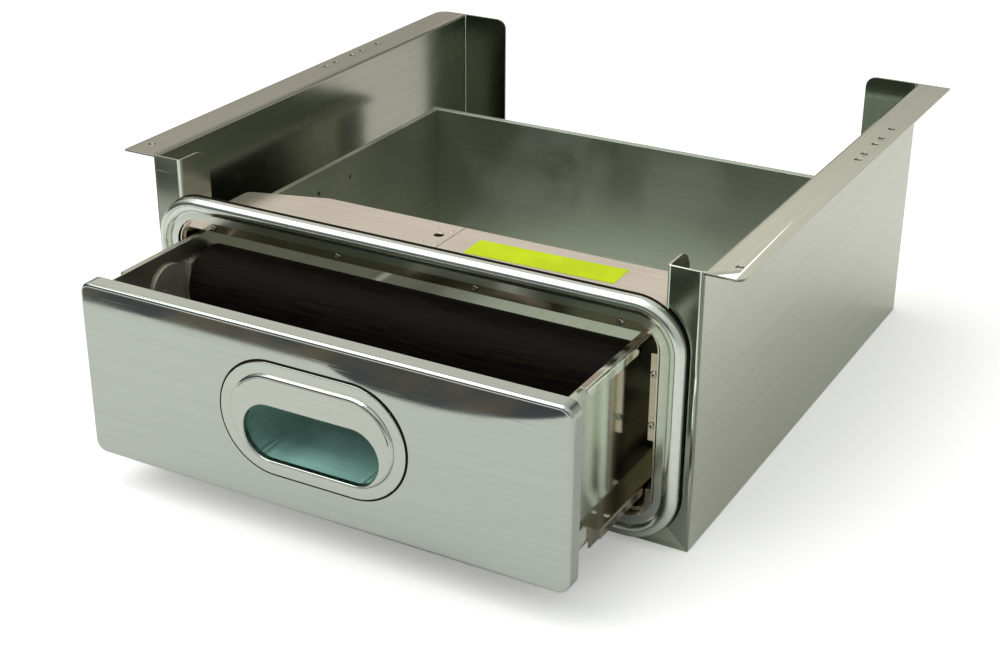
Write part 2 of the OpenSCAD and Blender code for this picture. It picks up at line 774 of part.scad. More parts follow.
// Studs of the front rollers: outer head, collar against the rail, pin and inner head
module front_roller_axles() {
    roller_outer = front_roller_inner + front_roller_w;
    color(STEEL) from_front() for (side = [0, 1]) mirror([side, 0, 0]) {
        pin_x(front_roller_inner - roller_gap - axle_head_h, rail_web_outer + stud_head_h,
            front_roller_y, roller_z, axle_d);
        pin_x(front_roller_inner - roller_gap - axle_head_h, front_roller_inner - roller_gap,
            front_roller_y, roller_z, axle_head_d);
        pin_x(roller_outer + roller_gap, rail_web_inner, front_roller_y, roller_z, collar_d);
        pin_x(rail_web_outer, rail_web_outer + stud_head_h, front_roller_y, roller_z, stud_head_d);
    }
}

// Roller with eased edges and a running bore, its axis along X
module roller(x, w) {
    r = roller_r;
    bore_r = axle_d / 2 + axle_clearance;
    translate([x, 0, 0]) rotate([0, 90, 0]) rotate_extrude() polygon([
        [bore_r, 0], [r - roller_edge, 0], [r, roller_edge],
        [r, w - roller_edge], [r - roller_edge, w], [bore_r, w]
    ]);
}

module front_roller() {
    translate([0, front_roller_y, roller_z]) roller(front_roller_inner, front_roller_w);
}

module left_front_roller() {
    color(NYLON) from_front() mirror([1, 0, 0]) front_roller();
}

module right_front_roller() {
    color(NYLON) from_front() front_roller();
}

// Pressed front: hollow, with soft front edges and an opening for the handle
module front_panel() {
    half_w = panel_w / 2;
    half_h = panel_h / 2;
    skin_r = panel_edge_r - panel_t;
    color(STEEL) from_front() translate([0, panel_back_y, panel_z]) rotate([90, 0, 0]) difference() {
        soft_slab(half_w, half_h, panel_r, panel_d, panel_edge_r);
        translate([0, 0, -cut])
            soft_slab(half_w - panel_t, half_h - panel_t, panel_r - panel_t, panel_d - panel_t + cut, skin_r);
        translate([0, handle_z - panel_z, 0]) linear_extrude(panel_d + cut) stadium(bezel_run, bezel_r - bezel_overlap);
    }
}

// Slab with round corners and a quarter-round along the edge of its upper face
module soft_slab(half_w, half_h, r, h, edge_r) {
    cx = half_w - r;
    cy = half_h - r;
    linear_extrude(h - edge_r) round_box(-half_w, -half_h, half_w, half_h, r);
    linear_extrude(h) round_box(edge_r - half_w, edge_r - half_h, half_w - edge_r, half_h - edge_r, r - edge_r);
    sweep_round(cx, cy) intersection() {
        translate([r - edge_r, h - edge_r]) circle(edge_r);
        box_2d(r - edge_r - edge_lap, h - edge_r - edge_lap, r, h);
    }
}

module panel_screw_places() {
    for (side = [-1, 1], x = panel_screw_x, z = [panel_screw_z, panel_screw_z - panel_screw_drop])
        translate([side * x, 0, z]) children();
}

// Sheet inside the pressed front, level with its rear edge
module panel_back() {
    half_w = panel_w / 2 - panel_t;
    half_h = panel_h / 2 - panel_t;
    color(STEEL) from_front() difference() {
        facing_front(panel_back_y) translate([0, panel_z, 0]) linear_extrude(panel_back_t) difference() {
            round_box(-half_w, -half_h, half_w, half_h, panel_r - panel_t);
            translate([0, handle_z - panel_z]) stadium(bezel_run, cup_r + cup_hole_clearance);
        }
        panel_screw_places() pin_y(panel_back_y - panel_back_t - cut, panel_back_y + cut, 0, 0, panel_screw_d);
    }
}

// Screws from inside the drawer into the front
module panel_screws() {
    wall_back = panel_back_y + drawer_t;
    color(STEEL) from_front() panel_screw_places() {
        pin_y(panel_back_y - panel_back_t - 2, wall_back, 0, 0, panel_screw_d);
        translate([0, wall_back + panel_screw_head_h, 0]) rotate([90, 0, 0])
            cylinder(h = panel_screw_head_h, d1 = panel_screw_head_d - 2, d2 = panel_screw_head_d);
    }
}

// Ring on the panel's face with a raised plate inside it that carries the grip slot
module handle_bezel() {
    plug_outer = bezel_r - bezel_overlap - plug_clearance;
    color(POLISHED) from_front() translate([0, panel_face_y, handle_z]) rotate([90, 0, 0]) {
        sweep_stadium(bezel_run) {
            intersection() {
                union() {
                    box_2d(boss_r - boss_wall, 0, bezel_r - bezel_edge_r, bezel_proud);
                    box_2d(boss_r - boss_wall, 0, bezel_r, bezel_proud - bezel_edge_r);
                    translate([bezel_r - bezel_edge_r, bezel_proud - bezel_edge_r]) circle(bezel_edge_r);
                }
                box_2d(boss_r - boss_wall, 0, bezel_r, bezel_proud);
            }
            box_2d(cup_r + plug_clearance, -panel_t, plug_outer, bezel_proud / 2);
        }
        difference() {
            boss_shell();
            translate([0, -grip_down, -grip_lip_d - cut])
                linear_extrude(grip_lip_d + boss_proud + 2 * cut) stadium(grip_run, grip_r);
            translate([0, -grip_down, 0]) sweep_stadium(grip_run) difference() {
                box_2d(grip_r - cut, boss_proud - grip_edge_r, grip_r + grip_edge_r, boss_proud + cut);
                translate([grip_r + grip_edge_r, boss_proud - grip_edge_r]) circle(grip_edge_r);
            }
        }
    }
}

// Raised plate, open at the back, with the wall of the grip slot still closed
module boss_shell() {
    difference() {
        union() {
            linear_extrude(boss_proud - boss_edge_r) stadium(bezel_run, boss_r);
            linear_extrude(boss_proud) stadium(bezel_run, boss_r - boss_edge_r);
            sweep_stadium(bezel_run) intersection() {
                translate([boss_r - boss_edge_r, boss_proud - boss_edge_r]) circle(boss_edge_r);
                box_2d(boss_r - boss_edge_r - edge_lap, boss_proud - boss_edge_r - edge_lap, boss_r, boss_proud);
            }
        }
        translate([0, 0, -cut]) linear_extrude(boss_proud - bezel_t + cut) stadium(bezel_run, boss_r - boss_wall);
    }
    translate([0, -grip_down, -grip_lip_d])
        linear_extrude(grip_lip_d + boss_proud - bezel_t / 2) stadium(grip_run, grip_r + bezel_t);
}

// Carries a section round a stadium, the section's X measured from the line of its middles
module sweep_stadium(run) {
    for (turn = [0, 180]) rotate([0, 0, turn]) {
        translate([run, 0, 0]) rotate([0, 0, -90]) rotate_extrude(angle = 180) children();
        rotate([0, 0, 90]) translate([0, run, 0]) rotate([90, 0, 0]) linear_extrude(2 * run) children();
    }
}

// Closed cup that keeps the grounds out of the handle
module handle_cup() {
    rear_y = panel_face_y + cup_d;
    color(STEEL_DARK) from_front() translate([0, 0, handle_z]) {
        facing_front(rear_y) linear_extrude(cup_d) difference() {
            stadium(bezel_run, cup_r);
            stadium(bezel_run, cup_r - cup_t);
        }
        facing_front(rear_y + cup_t) linear_extrude(cup_t) stadium(bezel_run, cup_r);
    }
}

// Cross section of the bin: floor and walls with round folds between them
module bin_outline(half_w, floor_z, top_z, r) {
    box_2d(-half_w, floor_z + r, half_w, top_z);
    box_2d(r - half_w, floor_z, half_w - r, floor_z + r);
    for (x = [r - half_w, half_w - r]) translate([x, floor_z + r]) circle(r);
}

// Section of the right hem: out from the wall, round and down
module hem_section(height) {
    outer = wall_x + hem_w;
    difference() {
        union() {
            box_2d(wall_x - drawer_t, drawer_top - height, outer, drawer_top - hem_r);
            box_2d(wall_x - drawer_t, drawer_top - hem_r, outer - hem_r, drawer_top);
            translate([outer - hem_r, drawer_top - hem_r]) circle(hem_r);
        }
        box_2d(wall_x, drawer_top - height - cut, outer - drawer_t, drawer_top - drawer_t);
        box_2d(wall_x - drawer_t - cut, drawer_top - height - cut, wall_x - drawer_t / 2, drawer_top - drawer_t);
    }
}

module drawer_body() {
    color(STEEL) from_front() difference() {
        union() {
            along_depth(panel_back_y, drawer_rear) difference() {
                bin_outline(wall_x, drawer_bottom, drawer_top, floor_fold_r);
                bin_outline(wall_inner_x, drawer_bottom + drawer_t, drawer_top + cut, floor_fold_r - drawer_t);
            }
            for (side = [0, 1]) mirror([side, 0, 0]) along_depth(hem_front, drawer_rear) hem_section(hem_h);
        }
        for (side = [0, 1]) mirror([side, 0, 0]) {
            across(wall_x + drawer_t / 2, wall_x + hem_w + cut) polygon([
                [hem_front - cut, drawer_top - drawer_t - hem_r], [hem_front, drawer_top - drawer_t - hem_r],
                [hem_front + hem_h, drawer_top - hem_h - cut], [hem_front - cut, drawer_top - hem_h - cut]
            ]);
            for (hole = wall_holes) pin_x(wall_inner_x - cut, wall_x + cut, panel_back_y + hole[0], hole[1], wall_hole_d);
            for (z = weld_mark_z) pin_x(wall_inner_x - cut, wall_inner_x + weld_mark_depth,
                drawer_rear - weld_mark_back, z, weld_mark_d);
            for (y = web_rivet_y)
                pin_x(wall_inner_x - cut, wall_x + cut, panel_back_y + y, web_rivet_z, runner_rivet_d);
        }
    }
}

module drawer_front_wall() {
    color(STEEL_DARK) from_front() difference() {
        along_depth(panel_back_y, panel_back_y + drawer_t) difference() {
            bin_outline(wall_inner_x, drawer_bottom + drawer_t, drawer_top, floor_fold_r - drawer_t);
            translate([0, handle_z]) stadium(bezel_run, cup_r + cup_hole_clearance);
        }
        panel_screw_places() pin_y(panel_back_y - cut, panel_back_y + drawer_t + cut, 0, 0, panel_screw_d);
    }
}

// Rear wall set in the bin's end, with a hem to the rear and flanges outside the side walls
module drawer_rear_wall() {
    hem_outer = wall_x + hem_w;
    color(STEEL_DARK) from_front() {
        along_depth(drawer_rear - drawer_t, drawer_rear)
            bin_outline(wall_inner_x, drawer_bottom + drawer_t, drawer_top, floor_fold_r - drawer_t);
        along_depth(drawer_rear, drawer_rear + drawer_t) {
            box_2d(-wall_x - drawer_t, rear_flange_bottom, wall_x + drawer_t, rear_flange_top);
            box_2d(-hem_outer + hem_r, rear_flange_top, hem_outer - hem_r, drawer_top);
        }
        for (side = [0, 1]) mirror([side, 0, 0])
            translate([wall_x, drawer_rear - rear_flange_l, rear_flange_bottom])
                cube([drawer_t, rear_flange_l + drawer_t, rear_flange_top - rear_flange_bottom]);
        across(-hem_outer, hem_outer) translate([drawer_rear, drawer_top]) difference() {
            union() {
                box_2d(0, -hem_r, rear_hem_d, 0);
                box_2d(0, -hem_h, rear_hem_d, -hem_r);
            }
            box_2d(drawer_t, -hem_h - cut, rear_hem_d - drawer_t, -drawer_t);
            corner_loss(rear_hem_d, 0, 1, 1, hem_r);
        }
    }
}

// Runner on the right: web on the wall, flange outward and a lip down
module drawer_rail() {
    outer = wall_x + runner_w;
    web_outer = wall_x + rail_t;
    difference() {
        union() {
            along_depth(runner_front, runner_end) box_2d(wall_x, runner_top - runner_h, web_outer, runner_top);
            along_depth(runner_front, runner_flange_end) {
                difference() {
                    box_2d(wall_x, runner_top - runner_lip_h, outer, runner_top);
                    box_2d(web_outer, runner_top - runner_lip_h - cut, outer - runner_t, runner_top - runner_t);
                    corner_loss(outer, runner_top, 1, 1, runner_t);
                }
            }
        }
        for (y = web_rivet_y) pin_x(wall_x - cut, web_outer + cut, panel_back_y + y, web_rivet_z, runner_rivet_d);
        translate([wall_x + runner_w / 2, runner_front + flange_rivet_y, runner_top - runner_t - cut])
            cylinder(h = runner_t + 2 * cut, d = runner_rivet_d);
        pin_x(wall_x - cut, web_outer + cut, rear_roller_y, roller_z, axle_d);
    }
}

module left_drawer_rail() {
    color(STEEL_DARK) from_front() mirror([1, 0, 0]) drawer_rail();
}

module right_drawer_rail() {
    color(STEEL_DARK) from_front() drawer_rail();
}

// Rivets through runner and wall, and one in each runner's flange near the front
module drawer_rail_rivets() {
    web_outer = wall_x + rail_t;
    color(STEEL) from_front() for (side = [0, 1]) mirror([side, 0, 0]) {
        for (y = web_rivet_y) {
            pin_x(wall_inner_x - wall_rivet_head_h, web_outer + 0.5, panel_back_y + y, web_rivet_z, runner_rivet_d);
            pin_x(wall_inner_x - wall_rivet_head_h, wall_inner_x, panel_back_y + y, web_rivet_z, wall_rivet_head_d);
            pin_x(web_outer, web_outer + 0.5, panel_back_y + y, web_rivet_z, runner_rivet_head_d);
        }
        translate([wall_x + runner_w / 2, runner_front + flange_rivet_y, runner_top - runner_t]) {
            translate([0, 0, -runner_rivet_head_h]) cylinder(h = runner_rivet_head_h, d = runner_rivet_head_d);
            cylinder(h = runner_t, d = runner_rivet_d);
            translate([0, 0, runner_t])
                cylinder(h = runner_rivet_head_h, d1 = runner_rivet_head_d, d2 = runner_rivet_head_d - 1.4);
        }
    }
}

// Studs of the rear rollers, held in the web of each drawer runner
module rear_roller_axles() {
    roller_outer = rear_roller_inner + rear_roller_w;
    color(STEEL) from_front() for (side = [0, 1]) mirror([side, 0, 0]) {
        pin_x(wall_x, roller_outer + roller_gap + axle_head_h, rear_roller_y, roller_z, axle_d);
        pin_x(wall_x + rail_t, rear_roller_inner - roller_gap, rear_roller_y, roller_z, collar_d);
        pin_x(roller_outer + roller_gap, roller_outer + roller_gap + axle_head_h,
            rear_roller_y, roller_z, axle_head_d);
    }
}

module rear_roller() {
    translate([0, rear_roller_y, roller_z]) roller(rear_roller_inner, rear_roller_w);
}

module left_rear_roller() {
    color(NYLON) from_front() mirror([1, 0, 0]) rear_roller();
}

module right_rear_roller() {
    color(NYLON) from_front() rear_roller();
}

// Bracket on the right wall: arched plate, a flange on each side of the core and a ledge under it
module bar_bracket() {
    core_r = core_d / 2;
    plate_x = bracket_wall_x - bracket_t;
    flange_x = bracket_wall_x - bracket_flange_w;
    flange_front = bar_centre_y - bracket_flange_front;
    flange_rear = bar_centre_y + core_r + bracket_flange_gap;
    ledge_z = bar_z - core_r - core_seat_gap;
    arch_y = bar_centre_y - arch_ahead;
    across(plate_x, bracket_wall_x) difference() {
        union() {
            translate([arch_y, arch_z]) circle(arch_r);
            box_2d(arch_y - arch_r, bracket_bottom, flange_rear + bracket_t, arch_z);
        }
        translate([bar_centre_y + bracket_hole[0], bracket_hole[1]]) circle(d = bracket_hole_d);
        for (place = bracket_rivets) translate([bar_centre_y + place[0], place[1]]) circle(d = bracket_rivet_d);
    }
    along_depth(flange_front - bracket_t, flange_front) difference() {
        box_2d(flange_x, bracket_bottom, bracket_wall_x, bracket_flange_top);
        corner_loss(flange_x, bracket_flange_top, -1, 1, bracket_flange_r);
    }
    along_depth(flange_rear, flange_rear + bracket_t) difference() {
        box_2d(flange_x, bracket_bottom, bracket_wall_x, bracket_rear_top);
        corner_loss(flange_x, bracket_rear_top, -1, 1, bracket_flange_r);
    }
    translate([flange_x, flange_front - bracket_t / 2, ledge_z - bracket_t])
        cube([bracket_flange_w, flange_rear - flange_front + bracket_t, bracket_t]);
}

module left_bar_bracket() {
    color(STEEL_DARK) from_front() mirror([1, 0, 0]) bar_bracket();
}

module right_bar_bracket() {
    color(STEEL_DARK) from_front() bar_bracket();
}

module bar_bracket_rivets() {
    head_x = bracket_wall_x - bracket_t;
    color(STEEL) from_front() for (side = [0, 1], place = bracket_rivets) mirror([side, 0, 0]) {
        pin_x(head_x, bracket_wall_x, bar_centre_y + place[0], place[1], bracket_rivet_d);
        translate([head_x, bar_centre_y + place[0], place[1]]) rotate([0, -90, 0])
            cylinder(h = bracket_rivet_head_h, d1 = bracket_rivet_head_d, d2 = bracket_rivet_head_d - 2);
    }
}

module knock_bar_core() {
    color(STEEL_DARK) from_front() translate([-core_l / 2, bar_centre_y, bar_z]) rotate([0, 90, 0]) difference() {
        cylinder(h = core_l, d = core_d);
        translate([0, 0, -cut]) cylinder(h = core_l + 2 * cut, d = core_d - 2 * core_t);
    }
}

// Rubber tube with eased ends
module knock_bar_sleeve() {
    bore_r = core_d / 2 + rubber_clearance;
    r = rubber_d / 2;
    color(RUBBER) from_front() translate([-rubber_l / 2, bar_centre_y, bar_z]) rotate([0, 90, 0])
        rotate_extrude() polygon([
            [bore_r, 0], [r - rubber_chamfer, 0], [r, rubber_chamfer],
            [r, rubber_l - rubber_chamfer], [r - rubber_chamfer, rubber_l], [bore_r, rubber_l]
        ]);
}

left_side_plate();
right_side_plate();
bottom_plate();
opening_sleeve();
sleeve_joint_strap();
sleeve_rivets();
size_label();
trim_frame();
window_plate();
window_plate_screws();
left_cabinet_rail();
right_cabinet_rail();
left_rail_brackets();
right_rail_brackets();
rail_screws();
front_roller_axles();
left_front_roller();
right_front_roller();
front_panel();
panel_back();
panel_screws();
handle_bezel();
handle_cup();
drawer_body();
drawer_front_wall();
drawer_rear_wall();
left_drawer_rail();
right_drawer_rail();
drawer_rail_rivets();
rear_roller_axles();
left_rear_roller();
right_rear_roller();
left_bar_bracket();
right_bar_bracket();
bar_bracket_rivets();
knock_bar_core();
knock_bar_sleeve();
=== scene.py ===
"""Coffee knock drawer: steel finishes, eased sheet edges, small fittings, studio and camera."""
import json
import math

import bmesh
import bpy
from mathutils import Matrix, Vector

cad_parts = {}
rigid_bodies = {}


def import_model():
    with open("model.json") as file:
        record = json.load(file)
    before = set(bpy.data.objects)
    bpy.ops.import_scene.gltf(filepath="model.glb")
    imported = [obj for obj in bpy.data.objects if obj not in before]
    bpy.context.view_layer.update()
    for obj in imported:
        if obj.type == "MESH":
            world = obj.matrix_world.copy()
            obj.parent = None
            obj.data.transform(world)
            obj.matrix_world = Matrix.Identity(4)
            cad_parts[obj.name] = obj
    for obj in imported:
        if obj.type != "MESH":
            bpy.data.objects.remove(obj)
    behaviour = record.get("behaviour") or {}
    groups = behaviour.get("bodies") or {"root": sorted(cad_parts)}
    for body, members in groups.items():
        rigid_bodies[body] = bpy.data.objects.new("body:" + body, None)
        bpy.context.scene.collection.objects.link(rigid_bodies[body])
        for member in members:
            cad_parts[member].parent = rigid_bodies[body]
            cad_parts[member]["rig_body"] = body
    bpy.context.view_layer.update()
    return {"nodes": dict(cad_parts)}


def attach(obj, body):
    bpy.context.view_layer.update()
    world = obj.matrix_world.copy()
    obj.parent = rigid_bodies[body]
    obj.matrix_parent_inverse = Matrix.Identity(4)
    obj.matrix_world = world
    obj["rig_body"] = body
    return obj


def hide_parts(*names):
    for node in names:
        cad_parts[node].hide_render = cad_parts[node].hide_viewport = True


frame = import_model()
NODES = frame["nodes"]
MM = 0.001
FRONT_PLANE = -202  # mm, the housing's front in the part's frame
FULL_TURN = 2 * math.pi
SHORT_EDGE = 0.0008  # m, below this a cut edge stays as it is
SAME_PLACE = 0.000002  # m, points of a CAD mesh this close become one
ROLL_REACH = 0.0004  # m, how far from the wall's inner face the hem's inner edge is looked for
HEM_LEVEL = 0.135  # m, everything above it on the bin is the top of a hem
FLAT = math.radians(0.3)  # below this angle two triangles are one face
RUBBER_LENGTH, CORE_LENGTH = 300, 307
TRIM_WIDTH, TRIM_HEIGHT, TRIM_MIDDLE, TRIM_CORNER = 375, 158, 82.2, 32.5
RING_WIDTH, RING_HEIGHT, RING_MIDDLE, PANEL_FACE = 129, 74, 81.5, -106.5


# Node groups for the surface detail that several finishes share

def new_group(name, inputs, outputs):
    """An empty shader group with named sockets, and its two end nodes."""
    tree = bpy.data.node_groups.new(name, "ShaderNodeTree")
    for label, kind, value in inputs:
        tree.interface.new_socket(label, in_out="INPUT", socket_type=kind).default_value = value
    for label in outputs:
        tree.interface.new_socket(label, in_out="OUTPUT", socket_type="NodeSocketFloat")
    return tree, tree.nodes.new("NodeGroupInput"), tree.nodes.new("NodeGroupOutput")


def noise_node(tree, vector, scale, detail, roughness=0.55):
    """Noise on the given coordinates."""
    node = tree.nodes.new("ShaderNodeTexNoise")
    node.inputs["Scale"].default_value = scale
    node.inputs["Detail"].default_value = detail
    node.inputs["Roughness"].default_value = roughness
    tree.links.new(vector, node.inputs["Vector"])
    return node.outputs["Fac"]


def remap_node(tree, value, from_low, from_high, to_low=0.0, to_high=1.0):
    """A clamped change of range."""
    node = tree.nodes.new("ShaderNodeMapRange")
    node.interpolation_type = "SMOOTHSTEP"
    ends = {"From Min": from_low, "From Max": from_high, "To Min": to_low, "To Max": to_high}
    for label, number in ends.items():
        node.inputs[label].default_value = number
    tree.links.new(value, node.inputs["Value"])
    return node.outputs["Result"]


def stretched_coordinates(tree, stretch):
    """Object coordinates times a stretch along each axis."""
    place = tree.nodes.new("ShaderNodeTexCoord")
    node = tree.nodes.new("ShaderNodeVectorMath")
    node.operation = "MULTIPLY"
    tree.links.new(place.outputs["Object"], node.inputs[0])
    tree.links.new(stretch, node.inputs[1])
    return node.outputs["Vector"]


def make_grain_group():
    """Rolling grain: short fine lines along the axis with the small stretch, and broad faint bands."""
    tree, start, end = new_group(
        "rolling_grain", [("Stretch", "NodeSocketVector", (1, 1, 1))], ("Lines", "Bands"))
    vector = stretched_coordinates(tree, start.outputs["Stretch"])
    tree.links.new(noise_node(tree, vector, 900, 3), end.inputs["Lines"])
    tree.links.new(remap_node(tree, noise_node(tree, vector, 110, 4), 0.3, 0.7), end.inputs["Bands"])
    return tree


def make_wipe_group():
    """Cloudy marks that a cloth and fingers leave on sheet metal."""
    tree, start, end = new_group(
        "wipe_marks", [("Stretch", "NodeSocketVector", (1, 1, 1))], ("Clouds", "Smears"))
    vector = stretched_coordinates(tree, start.outputs["Stretch"])
    tree.links.new(remap_node(tree, noise_node(tree, vector, 14, 4), 0.35, 0.7), end.inputs["Clouds"])
    tree.links.new(remap_node(tree, noise_node(tree, vector, 70, 6, 0.7), 0.58, 0.85), end.inputs["Smears"])
    return tree


def make_scratch_group():
    """Sparse hairline scratches in two directions."""
    tree, start, end = new_group(
        "hairline_scratches", [("Stretch", "NodeSocketVector", (1, 1, 1))], ("Scratches",))
    vector = stretched_coordinates(tree, start.outputs["Stretch"])
    found = []
    for angle, seed in ((0.35, 2.1), (-0.9, 7.7)):
        turn = tree.nodes.new("ShaderNodeMapping")
        turn.inputs["Rotation"].default_value = (angle, angle, angle)
        turn.inputs["Location"].default_value = (seed, seed, seed)
        turn.inputs["Scale"].default_value = (1, 40, 40)
        tree.links.new(vector, turn.inputs["Vector"])
        found.append(remap_node(tree, noise_node(tree, turn.outputs["Vector"], 22, 1), 0.71, 0.75))
    top = tree.nodes.new("ShaderNodeMath")
    top.operation = "MAXIMUM"
    for index, value in enumerate(found):
        tree.links.new(value, top.inputs[index])
    tree.links.new(top.outputs["Value"], end.inputs["Scratches"])
    return tree


GRAIN = make_grain_group()
WIPES = make_wipe_group()
SCRATCHES = make_scratch_group()


# Finishes

def new_finish(name, metallic, coat=0.0):
    """A material with its shader, ready for patterns."""
    material = bpy.data.materials.new(name)
    material.use_nodes = True
    tree = material.node_tree
    tree.nodes.clear()
    shader = tree.nodes.new("ShaderNodeBsdfPrincipled")
    output = tree.nodes.new("ShaderNodeOutputMaterial")
    tree.links.new(shader.outputs["BSDF"], output.inputs["Surface"])
    shader.inputs["Metallic"].default_value = metallic
    shader.inputs["Coat Weight"].default_value = coat
    return material, tree, shader


def placed(tree, group, stretch):
    """The group as a node of this material."""
    node = tree.nodes.new("ShaderNodeGroup")
    node.node_tree = group
    node.inputs["Stretch"].default_value = stretch
    return node


def blend_colours(tree, factor, low, high):
    """Two colours mixed by a pattern; either may be a colour or a socket."""
    node = tree.nodes.new("ShaderNodeMix")
    node.data_type = "RGBA"
    tree.links.new(factor, node.inputs[0])
    for index, value in ((6, low), (7, high)):
        if isinstance(value, tuple):
            node.inputs[index].default_value = (*value, 1)
        else:
            tree.links.new(value, node.inputs[index])
    return node.outputs[2]


def add_values(tree, first, second, share):
    """first plus share times second."""
    node = tree.nodes.new("ShaderNodeMath")
    node.operation = "MULTIPLY_ADD"
    tree.links.new(second, node.inputs[0])
    node.inputs[1].default_value = share
    tree.links.new(first, node.inputs[2])
    return node.outputs["Value"]


def bump(tree, shader, height, strength, depth):
    """A bump that feeds the shader's normal."""
    node = tree.nodes.new("ShaderNodeBump")
    node.inputs["Strength"].default_value = strength
    node.inputs["Distance"].default_value = depth
    tree.links.new(height, node.inputs["Height"])
    tree.links.new(node.outputs["Normal"], shader.inputs["Normal"])


def steel(name, colour, roughness, stretch, grain=0.04, haze=0.05, lines=0.1):
    """Sheet steel: grain along one axis, wipe marks that change its gloss, and hairlines."""
    material, tree, shader = new_finish(name, 1.0)
    grain_node = placed(tree, GRAIN, stretch)
    wipe_node = placed(tree, WIPES, (1, 1, 1))
    scratch_node = placed(tree, SCRATCHES, (1, 1, 1))
    darker = tuple(channel * (1 - grain) for channel in colour)
    lighter = tuple(min(1.0, channel * (1 + grain)) for channel in colour)
    hazy = tuple(channel * 0.9 for channel in colour)
    base = blend_colours(tree, grain_node.outputs["Bands"], darker, lighter)
    base = blend_colours(tree, remap_node(tree, wipe_node.outputs["Smears"], 0, 1, 0, 0.5), base, hazy)
    tree.links.new(base, shader.inputs["Base Color"])
    gloss = add_values(
        tree, remap_node(tree, wipe_node.outputs["Clouds"], 0, 1, roughness, roughness + haze),
        grain_node.outputs["Lines"], haze * 0.4)
    gloss = add_values(tree, gloss, scratch_node.outputs["Scratches"], 0.06)
    tree.links.new(gloss, shader.inputs["Roughness"])
    height = add_values(tree, grain_node.outputs["Lines"], scratch_node.outputs["Scratches"], -0.6)
    bump(tree, shader, height, lines, 0.00002)
    return material


def rubber_finish():
    """Black rubber with brown streaks along the bar as painted reflections, and patches of dust."""
    material, tree, shader = new_finish("black_rubber", 0.0)
    streaks = placed(tree, GRAIN, (0.35, 6, 6))
    wipe_node = placed(tree, WIPES, (0.5, 2, 2))
    # Brown streaks along the bar: painted reflections of the room on the rubber.
    base = blend_colours(tree, streaks.outputs["Bands"], (0.002, 0.002, 0.002), (0.011, 0.008, 0.005))
    dust = remap_node(tree, wipe_node.outputs["Smears"], 0, 1, 0, 0.5)
    base = blend_colours(tree, dust, base, (0.024, 0.018, 0.012))
    tree.links.new(base, shader.inputs["Base Color"])
    tree.links.new(remap_node(tree, streaks.outputs["Bands"], 0, 1, 0.55, 0.75), shader.inputs["Roughness"])
    shader.inputs["Specular IOR Level"].default_value = 0.06
    bump(tree, shader, streaks.outputs["Lines"], 0.3, 0.00008)
    return material


def nylon_finish():
    """Off-white nylon with moulding flow marks and a little grey wear."""
    material, tree, shader = new_finish("roller_nylon", 0.0)
    wipe_node = placed(tree, WIPES, (5, 5, 5))
    base = blend_colours(tree, wipe_node.outputs["Clouds"], (0.62, 0.60, 0.54), (0.72, 0.71, 0.66))
    base = blend_colours(tree, wipe_node.outputs["Smears"], base, (0.42, 0.41, 0.38))
    tree.links.new(base, shader.inputs["Base Color"])
    gloss = remap_node(tree, wipe_node.outputs["Clouds"], 0, 1, 0.35, 0.5)
    tree.links.new(gloss, shader.inputs["Roughness"])
    bump(tree, shader, wipe_node.outputs["Smears"], 0.15, 0.00005)
    return material


def sticker_finish():
    """Fluorescent yellow paper label under a thin film, left blank."""
    material, tree, shader = new_finish("label_film", 0.0, coat=0.01)
    wipe_node = placed(tree, WIPES, (3, 3, 3))
    base = blend_colours(tree, wipe_node.outputs["Clouds"], (0.44, 0.56, 0.001), (0.50, 0.63, 0.002))
    tree.links.new(base, shader.inputs["Base Color"])
    gloss = remap_node(tree, wipe_node.outputs["Smears"], 0, 1, 0.38, 0.5)
    tree.links.new(gloss, shader.inputs["Roughness"])
    shader.inputs["Specular IOR Level"].default_value = 0.06
    bump(tree, shader, wipe_node.outputs["Clouds"], 0.1, 0.0001)
    return material


def dark_recess_finish():
    """Near-black painted shade in the cross recess of a screw head."""
    material, tree, shader = new_finish("recess_painted_shade", 0.4)
    wipe_node = placed(tree, WIPES, (8, 8, 8))
    base = blend_colours(tree, wipe_node.outputs["Clouds"], (0.02, 0.02, 0.018), (0.06, 0.055, 0.05))
    tree.links.new(base, shader.inputs["Base Color"])
    gloss = remap_node(tree, wipe_node.outputs["Clouds"], 0, 1, 0.5, 0.8)
    tree.links.new(gloss, shader.inputs["Roughness"])
    return material


